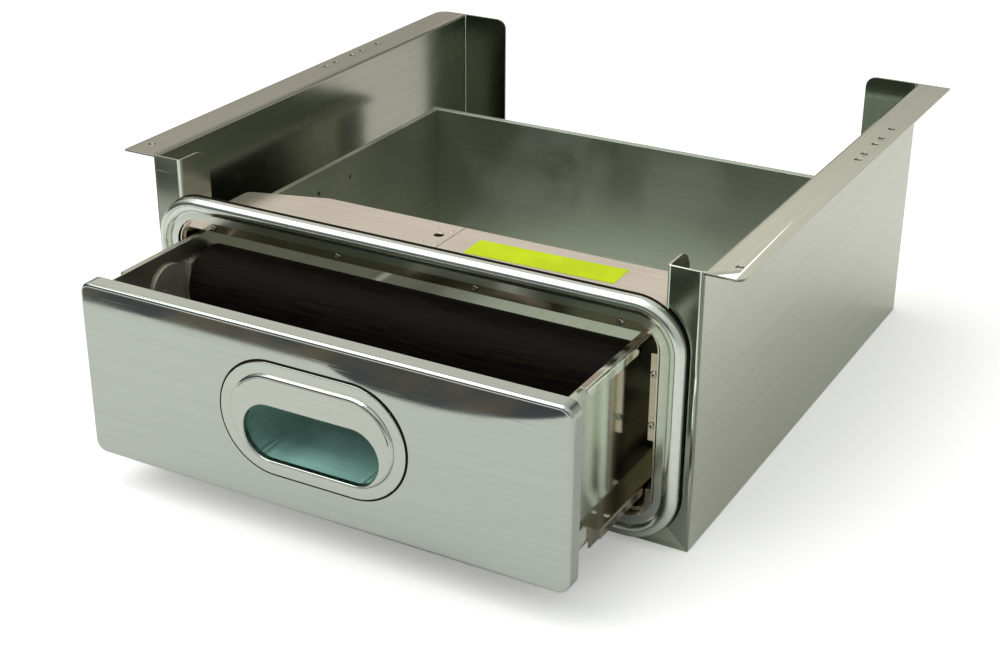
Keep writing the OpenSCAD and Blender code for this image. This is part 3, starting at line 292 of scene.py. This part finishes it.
ALONG_X = (0.06, 3, 3)
ALONG_Y = (3, 0.06, 3)
ALONG_Z = (3, 3, 0.06)
FINISH = {
    "side": steel("satin_side", (0.55, 0.57, 0.48), 0.10, ALONG_Y),
    # The left plate's steel: the side steel darkened as painted shade.
    "side_shaded": steel("satin_side_shaded", (0.36, 0.36, 0.30), 0.19, ALONG_Y),
    # Front faces of both side plates: the side steel darkened as painted shade, standing for the shaded
    # floor they reflect.
    "post_front_painted_shade": steel("satin_post_front", (0.27, 0.30, 0.245), 0.10, ALONG_Z),
    "post": steel("satin_base", (0.42, 0.44, 0.36), 0.10, ALONG_X),
    "front": steel("bright_front", (0.44, 0.475, 0.43), 0.03, ALONG_X, grain=0.02, haze=0.03, lines=0.06),
    "panel_inside": steel("dull_panel_inside", (0.34, 0.36, 0.32), 0.25, ALONG_X, haze=0.1),
    "bin": steel("bin_inside", (0.52, 0.51, 0.44), 0.28, ALONG_Y, haze=0.1),
    "bin_outside": steel("bin_outside", (0.72, 0.76, 0.64), 0.11, ALONG_Z, haze=0.03),
    # Top of the right hem: darker brown painted reflection.
    "hem_painted_reflection": steel("hem_painted_reflection", (0.30, 0.265, 0.21), 0.08, ALONG_Y, haze=0.05),
    "bin_wall": steel("bin_wall_steel", (0.50, 0.58, 0.49), 0.30, ALONG_X, haze=0.12),
    "rail": steel("runner_steel", (0.23, 0.205, 0.165), 0.09, ALONG_Y, grain=0.08, haze=0.06),
    "zinc": steel("rail_zinc", (0.44, 0.44, 0.42), 0.28, ALONG_Y, grain=0.1, haze=0.15),
    # The sleeve's warm beige tint is a painted reflection of a warm wall.
    "sleeve": steel("mill_sleeve", (0.64, 0.58, 0.50), 0.15, ALONG_X, haze=0.06),
    "window": steel("window_steel", (0.50, 0.44, 0.36), 0.09, ALONG_X, grain=0.06, haze=0.05),
    "trim": steel(
        "polished_trim", (0.62, 0.66, 0.60), 0.19, ALONG_X, grain=0.02, haze=0.03, lines=0.04),
    "handle": steel(
        "polished_handle", (0.48, 0.51, 0.455), 0.035, ALONG_X, grain=0.02, haze=0.03, lines=0.05),
    "cup": steel("cup_inside", (0.21, 0.385, 0.335), 0.5, ALONG_X, haze=0.1),
    "cup_back": steel("cup_back", (0.36, 0.35, 0.31), 0.3, ALONG_X, haze=0.1),
    "bracket": steel("bracket_steel", (0.60, 0.55, 0.49), 0.42, ALONG_Z, grain=0.1, haze=0.12),
    "fastener": steel("fastener_steel", (0.55, 0.55, 0.50), 0.1, ALONG_Z, haze=0.06),
    "rubber": rubber_finish(),
    "nylon": nylon_finish(),
    "label": sticker_finish(),
    "recess": dark_recess_finish(),
}


# Pieces

def at_front(x, y, z):
    """A place in mm, its depth counted from the housing's front, in metres in the part's frame."""
    return Vector((x * MM, (y + FRONT_PLANE) * MM, z * MM))


def finish_piece(work, name, body, material, replaced=(), smooth=True):
    """Turn a bmesh into a piece with its finish, its body and the nodes it stands for."""
    mesh = bpy.data.meshes.new(name)
    work.to_mesh(mesh)
    work.free()
    for face in mesh.polygons:
        face.use_smooth = smooth
    piece = bpy.data.objects.new(name, mesh)
    bpy.context.scene.collection.objects.link(piece)
    for each in material if isinstance(material, tuple) else (material,):
        mesh.materials.append(FINISH[each])
    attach(piece, body)
    if replaced:
        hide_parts(*replaced)
    return piece


def even_normals(piece):
    """Let the broad faces rule the shading at rounded edges."""
    modifier = piece.modifiers.new("even_normals", "WEIGHTED_NORMAL")
    modifier.weight = 60
    modifier.keep_sharp = True
    return piece


def split_at_edges(piece, angle=35):
    """Smooth shading that breaks at the piece's sharp edges."""
    piece.data.set_sharp_from_angle(angle=math.radians(angle))
    return piece


def faces_outward(face):
    """Whether a face looks away from the object's middle plane."""
    side = face.calc_center_median().x
    return face.normal.x * side > 0.1 * abs(side)


def faces_forward(face):
    """Whether a face looks to the front."""
    return face.normal.y < -0.5


def right_hem_top(face):
    """Whether a face is the flat top of the right hem, which gets a darker brown painted reflection."""
    middle = face.calc_center_median()
    return face.normal.z > 0.98 and middle.x > 0 and middle.z > HEM_LEVEL


def merged_copy(node):
    """A bmesh of a CAD node with its doubled points merged."""
    work = bmesh.new()
    work.from_mesh(NODES[node].data)
    bmesh.ops.remove_doubles(work, verts=work.verts[:], dist=SAME_PLACE)
    return work


def round_edges(work, edges, radius, segments):
    """Bevel the edges, radius in mm."""
    bmesh.ops.bevel(
        work, geom=edges, offset=radius * MM, offset_type="OFFSET", segments=segments, profile=0.5,
        affect="EDGES", clamp_overlap=False, material=-1)


def round_hems(work):
    """Round the long inner edge along the top of both of the drawer's walls."""
    top = max(vert.co.z for vert in work.verts)
    inner = min(abs(vert.co.x) for vert in work.verts if vert.co.z > top - 0.00001)
    rolled = [edge for edge in work.edges if edge.calc_length() > 0.05 and all(
        vert.co.z > top - 0.0003 and abs(vert.co.x) < inner + ROLL_REACH for vert in edge.verts)]
    round_edges(work, rolled, 1.0, 3)


def eased_sheet(node, material, ease, *chosen_finishes, sharp_angle=40):
    """A merged copy of a CAD node with its cut edges eased, and the chosen faces finished apart."""
    work = merged_copy(node)
    bmesh.ops.dissolve_limit(
        work, angle_limit=FLAT, use_dissolve_boundaries=False, verts=work.verts[:], edges=work.edges[:],
        delimit=set())
    limit = math.radians(sharp_angle)
    sharp = [edge for edge in work.edges if edge.is_manifold and edge.calc_face_angle() > limit
             and edge.calc_length() > SHORT_EDGE]
    round_edges(work, sharp, ease, 2)
    if node == "drawer_body":
        round_hems(work)
    body = NODES[node]["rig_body"]
    for index, (chosen, _) in enumerate(chosen_finishes):
        for face in work.faces:
            if chosen(face):
                face.material_index = index + 1
    material = (material, *(finish for _, finish in chosen_finishes))
    piece = finish_piece(work, node + "_eased", body, material, (node,))
    return even_normals(piece)


for node, material, ease in (
        ("bottom_plate", "post", 0.25), ("opening_sleeve", "sleeve", 0.2),
        ("sleeve_joint_strap", "sleeve", 0.2), ("window_plate", "window", 0.15),
        ("left_cabinet_rail", "zinc", 0.2), ("right_cabinet_rail", "zinc", 0.2),
        ("left_rail_brackets", "zinc", 0.25), ("right_rail_brackets", "zinc", 0.25),
        ("panel_back", "panel_inside", 0.15), ("drawer_front_wall", "bin_wall", 0.15),
        ("drawer_rear_wall", "bin_wall", 0.15), ("left_drawer_rail", "rail", 0.15),
        ("right_drawer_rail", "rail", 0.15),
        ("left_bar_bracket", "bracket", 0.25), ("right_bar_bracket", "bracket", 0.25)):
    eased_sheet(node, material, ease)
eased_sheet("drawer_body", "bin", 0.15, (faces_outward, "bin_outside"), (right_hem_top, "hem_painted_reflection"))
# The left plate takes the darker copy of the side steel, as painted shade.
eased_sheet("left_side_plate", "side_shaded", 0.25, (faces_forward, "post_front_painted_shade"))
eased_sheet("right_side_plate", "side", 0.25, (faces_forward, "post_front_painted_shade"))

# Cup behind the grip, its inside and its back finished apart
work = merged_copy("handle_cup")
cup_middle = at_front(0, -100, 80)
for face in work.faces:
    if face.normal.dot(face.calc_center_median() - cup_middle) > 0:
        face.material_index = 1
cup = finish_piece(work, "grip_cup", "drawer", ("cup", "cup_back"), ("handle_cup",))
split_at_edges(cup)

for node, material in (
        ("trim_frame", "trim"), ("front_panel", "front"), ("handle_bezel", "handle"),
        ("front_roller_axles", "fastener"), ("rear_roller_axles", "fastener")):
    NODES[node].data.materials.clear()
    NODES[node].data.materials.append(FINISH[material])

TO_FRONT = Matrix.Rotation(math.radians(90), 4, "X")
TO_REAR = Matrix.Rotation(math.radians(-90), 4, "X")
TO_RIGHT = Matrix.Rotation(math.radians(90), 4, "Y")
TO_LEFT = Matrix.Rotation(math.radians(-90), 4, "Y")
UPRIGHT = Matrix.Identity(4)


def spun(work, profile, steps, turn):
    """Spin a profile of (radius, height) in mm about Z and turn it to its axis."""
    points = [work.verts.new((radius * MM, 0, height * MM)) for radius, height in profile]
    edges = [work.edges.new(pair) for pair in zip(points, points[1:])]
    bmesh.ops.spin(
        work, geom=points + edges, cent=(0, 0, 0), axis=(0, 0, 1), angle=FULL_TURN, steps=steps,
        use_merge=True, use_duplicate=False)
    bmesh.ops.remove_doubles(work, verts=work.verts[:], dist=0.000001)
    bmesh.ops.transform(work, matrix=turn, verts=work.verts[:])


def screw(work, place, turn, head_d, head_h, shank_d, shank_l):
    """Pan-head screw with a cross recess, its head standing out along the turned Z axis."""
    top = head_d * 0.36
    profile = [
        (0, -shank_l), (shank_d / 2, -shank_l), (shank_d / 2, 0), (head_d / 2, 0),
        (head_d / 2, head_h * 0.25), (head_d * 0.46, head_h * 0.62), (top, head_h * 0.93),
        (top * 0.8, head_h)]
    head = bmesh.new()
    spun(head, profile, 24, UPRIGHT)
    rim = sorted(
        (vert for vert in head.verts if abs(vert.co.z - head_h * MM) < 0.000001),
        key=lambda vert: math.atan2(vert.co.y, vert.co.x))
    recess_face = head.faces.new(rim)
    bmesh.ops.inset_individual(head, faces=[recess_face], thickness=top * 0.12 * MM, depth=0)
    recess_face = [face for face in head.faces if len(face.verts) == 24][0]
    for index, loop_vert in enumerate(recess_face.verts):
        reach = 0.95 if index % 6 in (0, 1) else 0.42
        loop_vert.co.x *= reach
        loop_vert.co.y *= reach
    sunk = bmesh.ops.extrude_discrete_faces(head, faces=[recess_face])
    floor = sunk["faces"][0]
    bmesh.ops.translate(head, verts=floor.verts[:], vec=(0, 0, -head_h * 0.45 * MM))
    floor.material_index = 1
    for edge in floor.edges:
        for face in edge.link_faces:
            face.material_index = 1
    bmesh.ops.recalc_face_normals(head, faces=head.faces[:])
    bmesh.ops.transform(head, matrix=Matrix.Translation(place) @ turn, verts=head.verts[:])
    merge_in(work, head)


def merge_in(work, other):
    """Add one bmesh to another."""
    mesh = bpy.data.meshes.new("passing")
    other.to_mesh(mesh)
    other.free()
    work.from_mesh(mesh)
    bpy.data.meshes.remove(mesh)


def rivet(work, place, turn, head_d, head_h, shank_d, shank_l):
    """Domed rivet with its head standing out along the turned Z axis."""
    radius = head_d / 2
    steps = 5
    bows = [step * math.pi / 2 / steps for step in range(steps)]
    dome = [(radius * math.cos(bow), head_h * math.sin(bow)) for bow in bows]
    profile = [(0, -shank_l), (shank_d / 2, -shank_l), (shank_d / 2, 0)] + dome + [(0, head_h)]
    head = bmesh.new()
    spun(head, profile, 20, UPRIGHT)
    bmesh.ops.recalc_face_normals(head, faces=head.faces[:])
    bmesh.ops.transform(head, matrix=Matrix.Translation(place) @ turn, verts=head.verts[:])
    merge_in(work, head)


SCREW_FINISH = ("fastener", "recess")

# Screws of the window plate: side tabs and top band
work = bmesh.new()
for x, z in ((167.6, 80.2), (167.6, 113.5), (49.3, 142.2), (145.2, 142.2)):
    for side in (-1, 1):
        screw(work, at_front(side * x, -2, z), TO_FRONT, 4.4, 1.6, 2.5, 6)
finish_piece(work, "window_screws", "housing", SCREW_FINISH, ("window_plate_screws",))

# Screws of the rail spacers, heads outward
work = bmesh.new()
for y in (124.5, 362.5):
    screw(work, at_front(172, y, 29), TO_RIGHT, 6, 1.6, 3, 2.7)
    screw(work, at_front(-172, y, 29), TO_LEFT, 6, 1.6, 3, 2.7)
finish_piece(work, "rail_spacer_screws", "housing", SCREW_FINISH, ("rail_screws",))

# Screws that hold the front, heads inside the bin
work = bmesh.new()
for x in (110, 140):
    for side in (-1, 1):
        for z in (112, 52):
            screw(work, at_front(side * x, -94, z), TO_REAR, 7, 2, 4, 4)
finish_piece(work, "front_fixing_screws", "drawer", SCREW_FINISH, ("panel_screws",))

# Rivets of the runners
work = bmesh.new()
for along in (60, 190, 320):
    for turn, side in ((TO_LEFT, 1), (TO_RIGHT, -1)):
        rivet(work, at_front(side * 156, along - 95, 36), turn, 5, 0.8, 2.4, 2.2)
    for turn, side in ((TO_RIGHT, 1), (TO_LEFT, -1)):
        rivet(work, at_front(side * 158.2, along - 95, 36), turn, 4, 0.5, 2.4, 0.1)
for side in (-1, 1):
    rivet(work, at_front(side * 160.85, -44.5, 39.5), UPRIGHT, 4, 0.8, 2.4, 1.0)
    rivet(work, at_front(side * 160.85, -44.5, 38.5), TO_FRONT @ TO_FRONT, 4, 0.8, 2.4, 0.1)
finish_piece(work, "runner_rivets", "drawer", "fastener", ("drawer_rail_rivets",))

# Rivets of the bar's brackets
work = bmesh.new()
for y, z in ((-49, 82), (-9, 80)):
    rivet(work, at_front(154.5, y, z), TO_LEFT, 6, 1.2, 3.2, 1.5)
    rivet(work, at_front(-154.5, y, z), TO_RIGHT, 6, 1.2, 3.2, 1.5)
finish_piece(work, "bracket_rivets", "drawer", "fastener", ("bar_bracket_rivets",))

# Pressed rivets at the sleeve's seam
work = bmesh.new()
for x, y in ((-13.2, 58.5), (-2.7, 58.5), (-11.7, 36.2), (-1.8, 36.2)):
    rivet(work, at_front(x, y, 146.3), UPRIGHT, 3.4, 0.4, 2.6, 2.2)
finish_piece(work, "seam_rivets", "housing", "bracket", ("sleeve_rivets",))

# Dark disc under the hole beside the seam: painted shade seen through the hole
work = bmesh.new()
bmesh.ops.create_circle(work, cap_ends=True, segments=32, radius=3.45 * MM)
bmesh.ops.solidify(work, geom=work.faces[:], thickness=0.3 * MM)
bmesh.ops.recalc_face_normals(work, faces=work.faces[:])
bmesh.ops.translate(work, verts=work.verts[:], vec=at_front(-7.3, 50, 145.7))
finish_piece(work, "seam_hole_shade_disc", "housing", "rubber", smooth=False)

BAR_MIDDLE = at_front(0, -3, 105)

# Rubber tube of the knock bar, with rounded ends and a faint waist where it is struck
work = bmesh.new()
half = RUBBER_LENGTH / 2
ring = [(15.05, -half), (22.6, -half), (23.4, -half + 0.2), (23.8, -half + 0.6), (24, -half + 1.3)]
profile = ring + [(24, -half + 20), (23.93, -80), (23.9, 0), (23.93, 80), (24, half - 20)]
profile += [(radius, -height) for radius, height in reversed(ring)] + [ring[0]]
spun(work, profile, 96, TO_RIGHT)
bmesh.ops.recalc_face_normals(work, faces=work.faces[:])
bmesh.ops.translate(work, verts=work.verts[:], vec=BAR_MIDDLE)
finish_piece(work, "bar_rubber", "drawer", "rubber", ("knock_bar_sleeve",))

# Steel core with eased ends
work = bmesh.new()
half = CORE_LENGTH / 2
profile = [
    (13, -half + 0.4), (13.4, -half), (14.5, -half), (15, -half + 0.5), (15, half - 0.5), (14.5, half),
    (13.4, half), (13, half - 0.4), (13, -half + 0.4)]
spun(work, profile, 64, TO_RIGHT)
bmesh.ops.recalc_face_normals(work, faces=work.faces[:])
bmesh.ops.translate(work, verts=work.verts[:], vec=BAR_MIDDLE)
finish_piece(work, "bar_core", "drawer", "bracket", ("knock_bar_core",))


def roller_profile(width):
    """Nylon roller: crowned tread, recessed sides and a hub round the bore."""
    bore, hub, tread = 2.25, 4.3, 8.0
    half_width = width / 2
    dish = half_width - 0.5
    side = [
        (bore, half_width), (hub, half_width), (hub + 0.4, dish), (6.6, dish), (7.0, half_width),
        (tread - 0.35, half_width), (tread - 0.06, half_width - 0.35), (tread, 0)]
    return side + [(radius, -height) for radius, height in reversed(side[:-1])] + [side[0]]


for name, node, body, x, y, width in (
        ("front_roller_left", "left_front_roller", "front_left_roller", -161.25, 80, 4.1),
        ("front_roller_right", "right_front_roller", "front_right_roller", 161.25, 80, 4.1),
        ("rear_roller_left", "left_rear_roller", "rear_left_roller", -163.5, 289.5, 6),
        ("rear_roller_right", "right_rear_roller", "rear_right_roller", 163.5, 289.5, 6)):
    work = bmesh.new()
    spun(work, roller_profile(width), 48, TO_RIGHT)
    bmesh.ops.recalc_face_normals(work, faces=work.faces[:])
    bmesh.ops.translate(work, verts=work.verts[:], vec=at_front(x, y, 30.2))
    even_normals(finish_piece(work, name, body, "nylon", (node,)))


def bead_along(work, corners, corner_r, bead_r, sides=10, steps=12):
    """Round bead on a closed XZ outline: a quarter turn about each corner's centre, then a straight run."""
    first = corners[0]
    turn = Matrix.Translation(first + Vector((corner_r * MM, 0, 0)))
    made = bmesh.ops.create_circle(work, cap_ends=False, segments=sides, radius=bead_r * MM, matrix=turn)
    ring = list({edge for vert in made["verts"] for edge in vert.link_edges})
    for index, centre in enumerate(corners):
        swept = bmesh.ops.spin(
            work, geom=ring, cent=centre, axis=(0, -1, 0), angle=math.pi / 2, steps=steps, use_merge=False,
            use_duplicate=False)
        ring = [item for item in swept["geom_last"] if isinstance(item, bmesh.types.BMEdge)]
        run = corners[(index + 1) % len(corners)] - centre
        if run.length > 0.000001:
            grown = bmesh.ops.extrude_edge_only(work, edges=ring)
            fresh = [item for item in grown["geom"] if isinstance(item, bmesh.types.BMVert)]
            bmesh.ops.translate(work, verts=fresh, vec=run)
            ring = [item for item in grown["geom"] if isinstance(item, bmesh.types.BMEdge)
                    and item.verts[0] in fresh and item.verts[1] in fresh]
    bmesh.ops.remove_doubles(work, verts=work.verts[:], dist=0.000005)
    bmesh.ops.recalc_face_normals(work, faces=work.faces[:])


# Thin black bead behind the trim's outer edge: painted shade of the gap there
work = bmesh.new()
reach_x, reach_z = TRIM_WIDTH / 2 - TRIM_CORNER, TRIM_HEIGHT / 2 - TRIM_CORNER
corners = [at_front(x, -1.1, TRIM_MIDDLE + z) for x, z in (
    (reach_x, reach_z), (-reach_x, reach_z), (-reach_x, -reach_z), (reach_x, -reach_z))]
bead_along(work, corners, TRIM_CORNER - 0.2, 0.95)
finish_piece(work, "trim_gap_shade", "housing", "rubber")

# Thin black bead round the handle's ring: painted shade of the gap at its edge
work = bmesh.new()
run = (RING_WIDTH - RING_HEIGHT) / 2
corners = [at_front(x, PANEL_FACE, RING_MIDDLE) for x in (run, -run, -run, run)]
bead_along(work, corners, RING_HEIGHT / 2 + 0.2, 0.85, steps=20)
finish_piece(work, "handle_gap_shade", "drawer", "rubber")

# Blank sticker with round corners, its right rear corner lifting a little
work = bmesh.new()
bmesh.ops.create_grid(work, x_segments=34, y_segments=8, size=0.5)
bmesh.ops.scale(work, verts=work.verts[:], vec=(102 * MM, 23.2 * MM, 1))
for vert in work.verts:
    lift = max(0.0, vert.co.x / MM - 46) * max(0.0, vert.co.y / MM - 7)
    vert.co.z = min(0.12, lift * 0.006) * MM
corner_verts = [vert for vert in work.verts if len(vert.link_edges) == 2]
bmesh.ops.bevel(
    work, geom=corner_verts, offset=1.0 * MM, offset_type="OFFSET", segments=4, profile=0.5,
    affect="VERTICES", material=-1)
bmesh.ops.solidify(work, geom=work.faces[:], thickness=0.12 * MM)
bmesh.ops.recalc_face_normals(work, faces=work.faces[:])
askew = Matrix.Rotation(math.radians(1.7), 3, "Z")
bmesh.ops.rotate(work, verts=work.verts[:], cent=(0, 0, 0), matrix=askew)
lowest = min(vert.co.z for vert in work.verts)
bmesh.ops.translate(
    work, verts=work.verts[:], vec=at_front(71.4, 45.6, 146.3) - Vector((0, 0, lowest - 0.02 * MM)))
finish_piece(work, "blank_sticker", "housing", "label", ("size_label",), smooth=False)


# Studio: a pale floor, soft light from above and the sides, and dark flags that only the steel mirrors

def flat_colour(name, colour, roughness=0.9):
    """Plain paint for the studio."""
    material = bpy.data.materials.new(name)
    material.use_nodes = True
    shader = material.node_tree.nodes["Principled BSDF"]
    shader.inputs["Base Color"].default_value = (*colour, 1)
    shader.inputs["Roughness"].default_value = roughness
    return material


def staged(work, name, centre, size_x, size_y, material):
    """A flat shape of the studio, scaled in mm and moved to its place."""
    bmesh.ops.scale(work, verts=work.verts[:], vec=(size_x * MM, size_y * MM, 1))
    bmesh.ops.translate(work, verts=work.verts[:], vec=centre)
    mesh = bpy.data.meshes.new(name)
    work.to_mesh(mesh)
    work.free()
    obj = bpy.data.objects.new(name, mesh)
    bpy.context.scene.collection.objects.link(obj)
    mesh.materials.append(material)
    return obj


def disc(name, centre, half_x, half_y, material):
    """Flat ellipse of the studio."""
    work = bmesh.new()
    bmesh.ops.create_circle(work, cap_ends=True, segments=96, radius=1)
    return staged(work, name, centre, half_x, half_y, material)


def card(name, centre, size_x, size_y, material):
    """Flat rectangle of the studio."""
    work = bmesh.new()
    bmesh.ops.create_grid(work, x_segments=1, y_segments=1, size=0.5)
    return staged(work, name, centre, size_x, size_y, material)


def only_mirrored(obj):
    """Seen in the steel and nowhere else."""
    obj.visible_camera = False
    obj.visible_diffuse = False
    obj.visible_shadow = False
    obj.visible_transmission = False
    return obj


def floor_finish():
    """White paper, a little brighter to the camera than in the steel."""
    material = flat_colour("floor_paper", (0.84, 0.84, 0.83))
    tree = material.node_tree
    shader = tree.nodes["Principled BSDF"]
    path = tree.nodes.new("ShaderNodeLightPath")
    extra = tree.nodes.new("ShaderNodeMath")
    extra.operation = "MULTIPLY"
    extra.inputs[1].default_value = 0.3
    tree.links.new(path.outputs["Is Camera Ray"], extra.inputs[0])
    shader.inputs["Emission Color"].default_value = (1, 1, 1, 1)
    tree.links.new(extra.outputs["Value"], shader.inputs["Emission Strength"])
    return material


def shade_finish(reach, darkest):
    """Shade that fades to nothing at the rim of its disc."""
    material = flat_colour("soft_shade", (0.02, 0.02, 0.015))
    tree = material.node_tree
    place = tree.nodes.new("ShaderNodeTexCoord")
    length = tree.nodes.new("ShaderNodeVectorMath")
    length.operation = "LENGTH"
    tree.links.new(place.outputs["Object"], length.inputs[0])
    fade = remap_node(tree, length.outputs["Value"], reach * 0.45, reach, darkest, 0.0)
    tree.links.new(fade, tree.nodes["Principled BSDF"].inputs["Alpha"])
    return material


def flag_finish():
    """Dark cloth with brown and blue folds, fading out away from the object."""
    material = flat_colour("flag_cloth", (0.05, 0.05, 0.05))
    tree = material.node_tree
    place = tree.nodes.new("ShaderNodeTexCoord")
    warp = noise_node(tree, place.outputs["Object"], 9, 2)
    folds = remap_node(tree, warp, 0.4, 0.62)
    folds = blend_colours(tree, folds, (0.055, 0.06, 0.07), (0.15, 0.115, 0.085))
    tree.links.new(folds, tree.nodes["Principled BSDF"].inputs["Base Color"])
    split = tree.nodes.new("ShaderNodeSeparateXYZ")
    tree.links.new(place.outputs["Object"], split.inputs["Vector"])
    fade = remap_node(tree, split.outputs["Y"], -0.68, -0.58)
    tree.links.new(fade, tree.nodes["Principled BSDF"].inputs["Alpha"])
    return material


disc("studio_floor", Vector((0, 0, 0)), 6000, 6000, floor_finish())
FLAG = flag_finish()
near_shade = disc("near_shade", Vector((0, 0, 0)), 130, 130, shade_finish(0.13, 0.6))
near_shade.location = (0.06, -0.23, 0.0004)
only_mirrored(near_shade)
only_mirrored(disc("near_flag", Vector((-0.05, -0.556, 0.0008)), 114, 60, FLAG))
only_mirrored(card("long_flag", Vector((-0.288, -0.605, 0.0012)), 624, 180, FLAG))


def colour_ramp(tree, value, steps):
    """Colours by height above the horizon, 0 level and 1 overhead."""
    ramp = tree.nodes.new("ShaderNodeValToRGB")
    ramp.color_ramp.interpolation = "EASE"
    stops = ramp.color_ramp.elements
    stops.remove(stops[1])
    stops[0].position = steps[0][0]
    stops[0].color = (*steps[0][1], 1)
    for position, colour in steps[1:]:
        stops.new(position).color = (*colour, 1)
    tree.links.new(value, ramp.inputs["Fac"])
    return ramp.outputs["Color"]


def make_world():
    """White to the camera; to the object a bright ceiling, dark front, warm rear and grey right wall."""
    world = bpy.data.worlds.new("studio")
    bpy.context.scene.world = world
    world.use_nodes = True
    tree = world.node_tree
    tree.nodes.clear()
    place = tree.nodes.new("ShaderNodeTexCoord")
    split = tree.nodes.new("ShaderNodeSeparateXYZ")
    tree.links.new(place.outputs["Generated"], split.inputs["Vector"])
    front = colour_ramp(tree, split.outputs["Z"], FRONT_WALL)
    rear = colour_ramp(tree, split.outputs["Z"], REAR_WALL)
    shaded = remap_node(tree, split.outputs["X"], -0.15, 0.4, 0.0, 0.85)
    low = remap_node(tree, split.outputs["Z"], 0.5, 0.7, 1.0, 0.0)
    both = tree.nodes.new("ShaderNodeMath")
    both.operation = "MULTIPLY"
    tree.links.new(shaded, both.inputs[0])
    tree.links.new(low, both.inputs[1])
    rear = blend_colours(tree, both.outputs["Value"], rear, DARK_CORNER)
    sides = blend_colours(tree, remap_node(tree, split.outputs["Y"], -0.3, 0.4), front, rear)
    sides = blend_colours(
        tree, remap_node(tree, split.outputs["X"], 0.35, 0.65, 0.0, 0.85), sides, RIGHT_WALL)
    room = tree.nodes.new("ShaderNodeBackground")
    room.inputs["Strength"].default_value = ROOM_LIGHT
    tree.links.new(sides, room.inputs["Color"])
    white = tree.nodes.new("ShaderNodeBackground")
    white.inputs["Color"].default_value = (1, 1, 1, 1)
    white.inputs["Strength"].default_value = 1.0
    path = tree.nodes.new("ShaderNodeLightPath")
    mix = tree.nodes.new("ShaderNodeMixShader")
    output = tree.nodes.new("ShaderNodeOutputWorld")
    tree.links.new(path.outputs["Is Camera Ray"], mix.inputs["Fac"])
    tree.links.new(room.outputs["Background"], mix.inputs[1])
    tree.links.new(white.outputs["Background"], mix.inputs[2])
    tree.links.new(mix.outputs["Shader"], output.inputs["Surface"])


ROOM_LIGHT = 1.0
DARK_CORNER = (0.03, 0.035, 0.03)
RIGHT_WALL = (0.68, 0.71, 0.67)
FRONT_WALL = (
    (0.0, (0.05, 0.055, 0.07)), (0.30, (0.12, 0.13, 0.14)), (0.45, (0.40, 0.42, 0.40)),
    (0.62, (1.0, 1.0, 1.0)), (1.0, (0.9, 0.9, 0.9)))
REAR_WALL = (
    (0.0, (0.11, 0.10, 0.09)), (0.25, (0.48, 0.45, 0.40)), (0.40, (0.96, 0.92, 0.85)),
    (0.7, (0.7, 0.68, 0.65)), (1.0, (0.9, 0.9, 0.9)))
make_world()


def softbox(name, place, aim, width, depth, watts):
    """Rectangular area light."""
    light = bpy.data.lights.new(name, "AREA")
    light.shape = "RECTANGLE"
    light.size = width
    light.size_y = depth
    light.energy = watts
    lamp = bpy.data.objects.new(name, light)
    bpy.context.scene.collection.objects.link(lamp)
    lamp.location = place
    lamp.rotation_euler = (Vector(aim) - Vector(place)).to_track_quat("-Z", "Y").to_euler()
    return lamp


softbox("ceiling_softbox", (-0.5, -0.3, 1.9), (0, 0, 0), 1.6, 1.4, 15)
softbox("front_softbox", (-0.85, -1.55, 1.75), (0, -0.1, 0.1), 1.7, 1.0, 12)

# Camera at the photograph's place
camera_data = bpy.data.cameras.new("camera")
camera_data.sensor_width = 36
camera_data.lens = 62.3
camera_data.shift_x = -0.0051
camera_data.shift_y = -0.0024
camera = bpy.data.objects.new("camera", camera_data)
bpy.context.scene.collection.objects.link(camera)
sight = Vector((-0.43461, 0.79163, -0.42947))
right = Vector((0.87512, 0.48386, 0.00629))
up = Vector((-0.21278, 0.37310, 0.90306))
turn = Matrix((right, up, -sight)).transposed().to_4x4()
camera.matrix_world = Matrix.Translation((0.5203, -1.0246, 0.5617)) @ turn
bpy.context.scene.camera = camera
bpy.context.scene.view_settings.view_transform = "Standard"
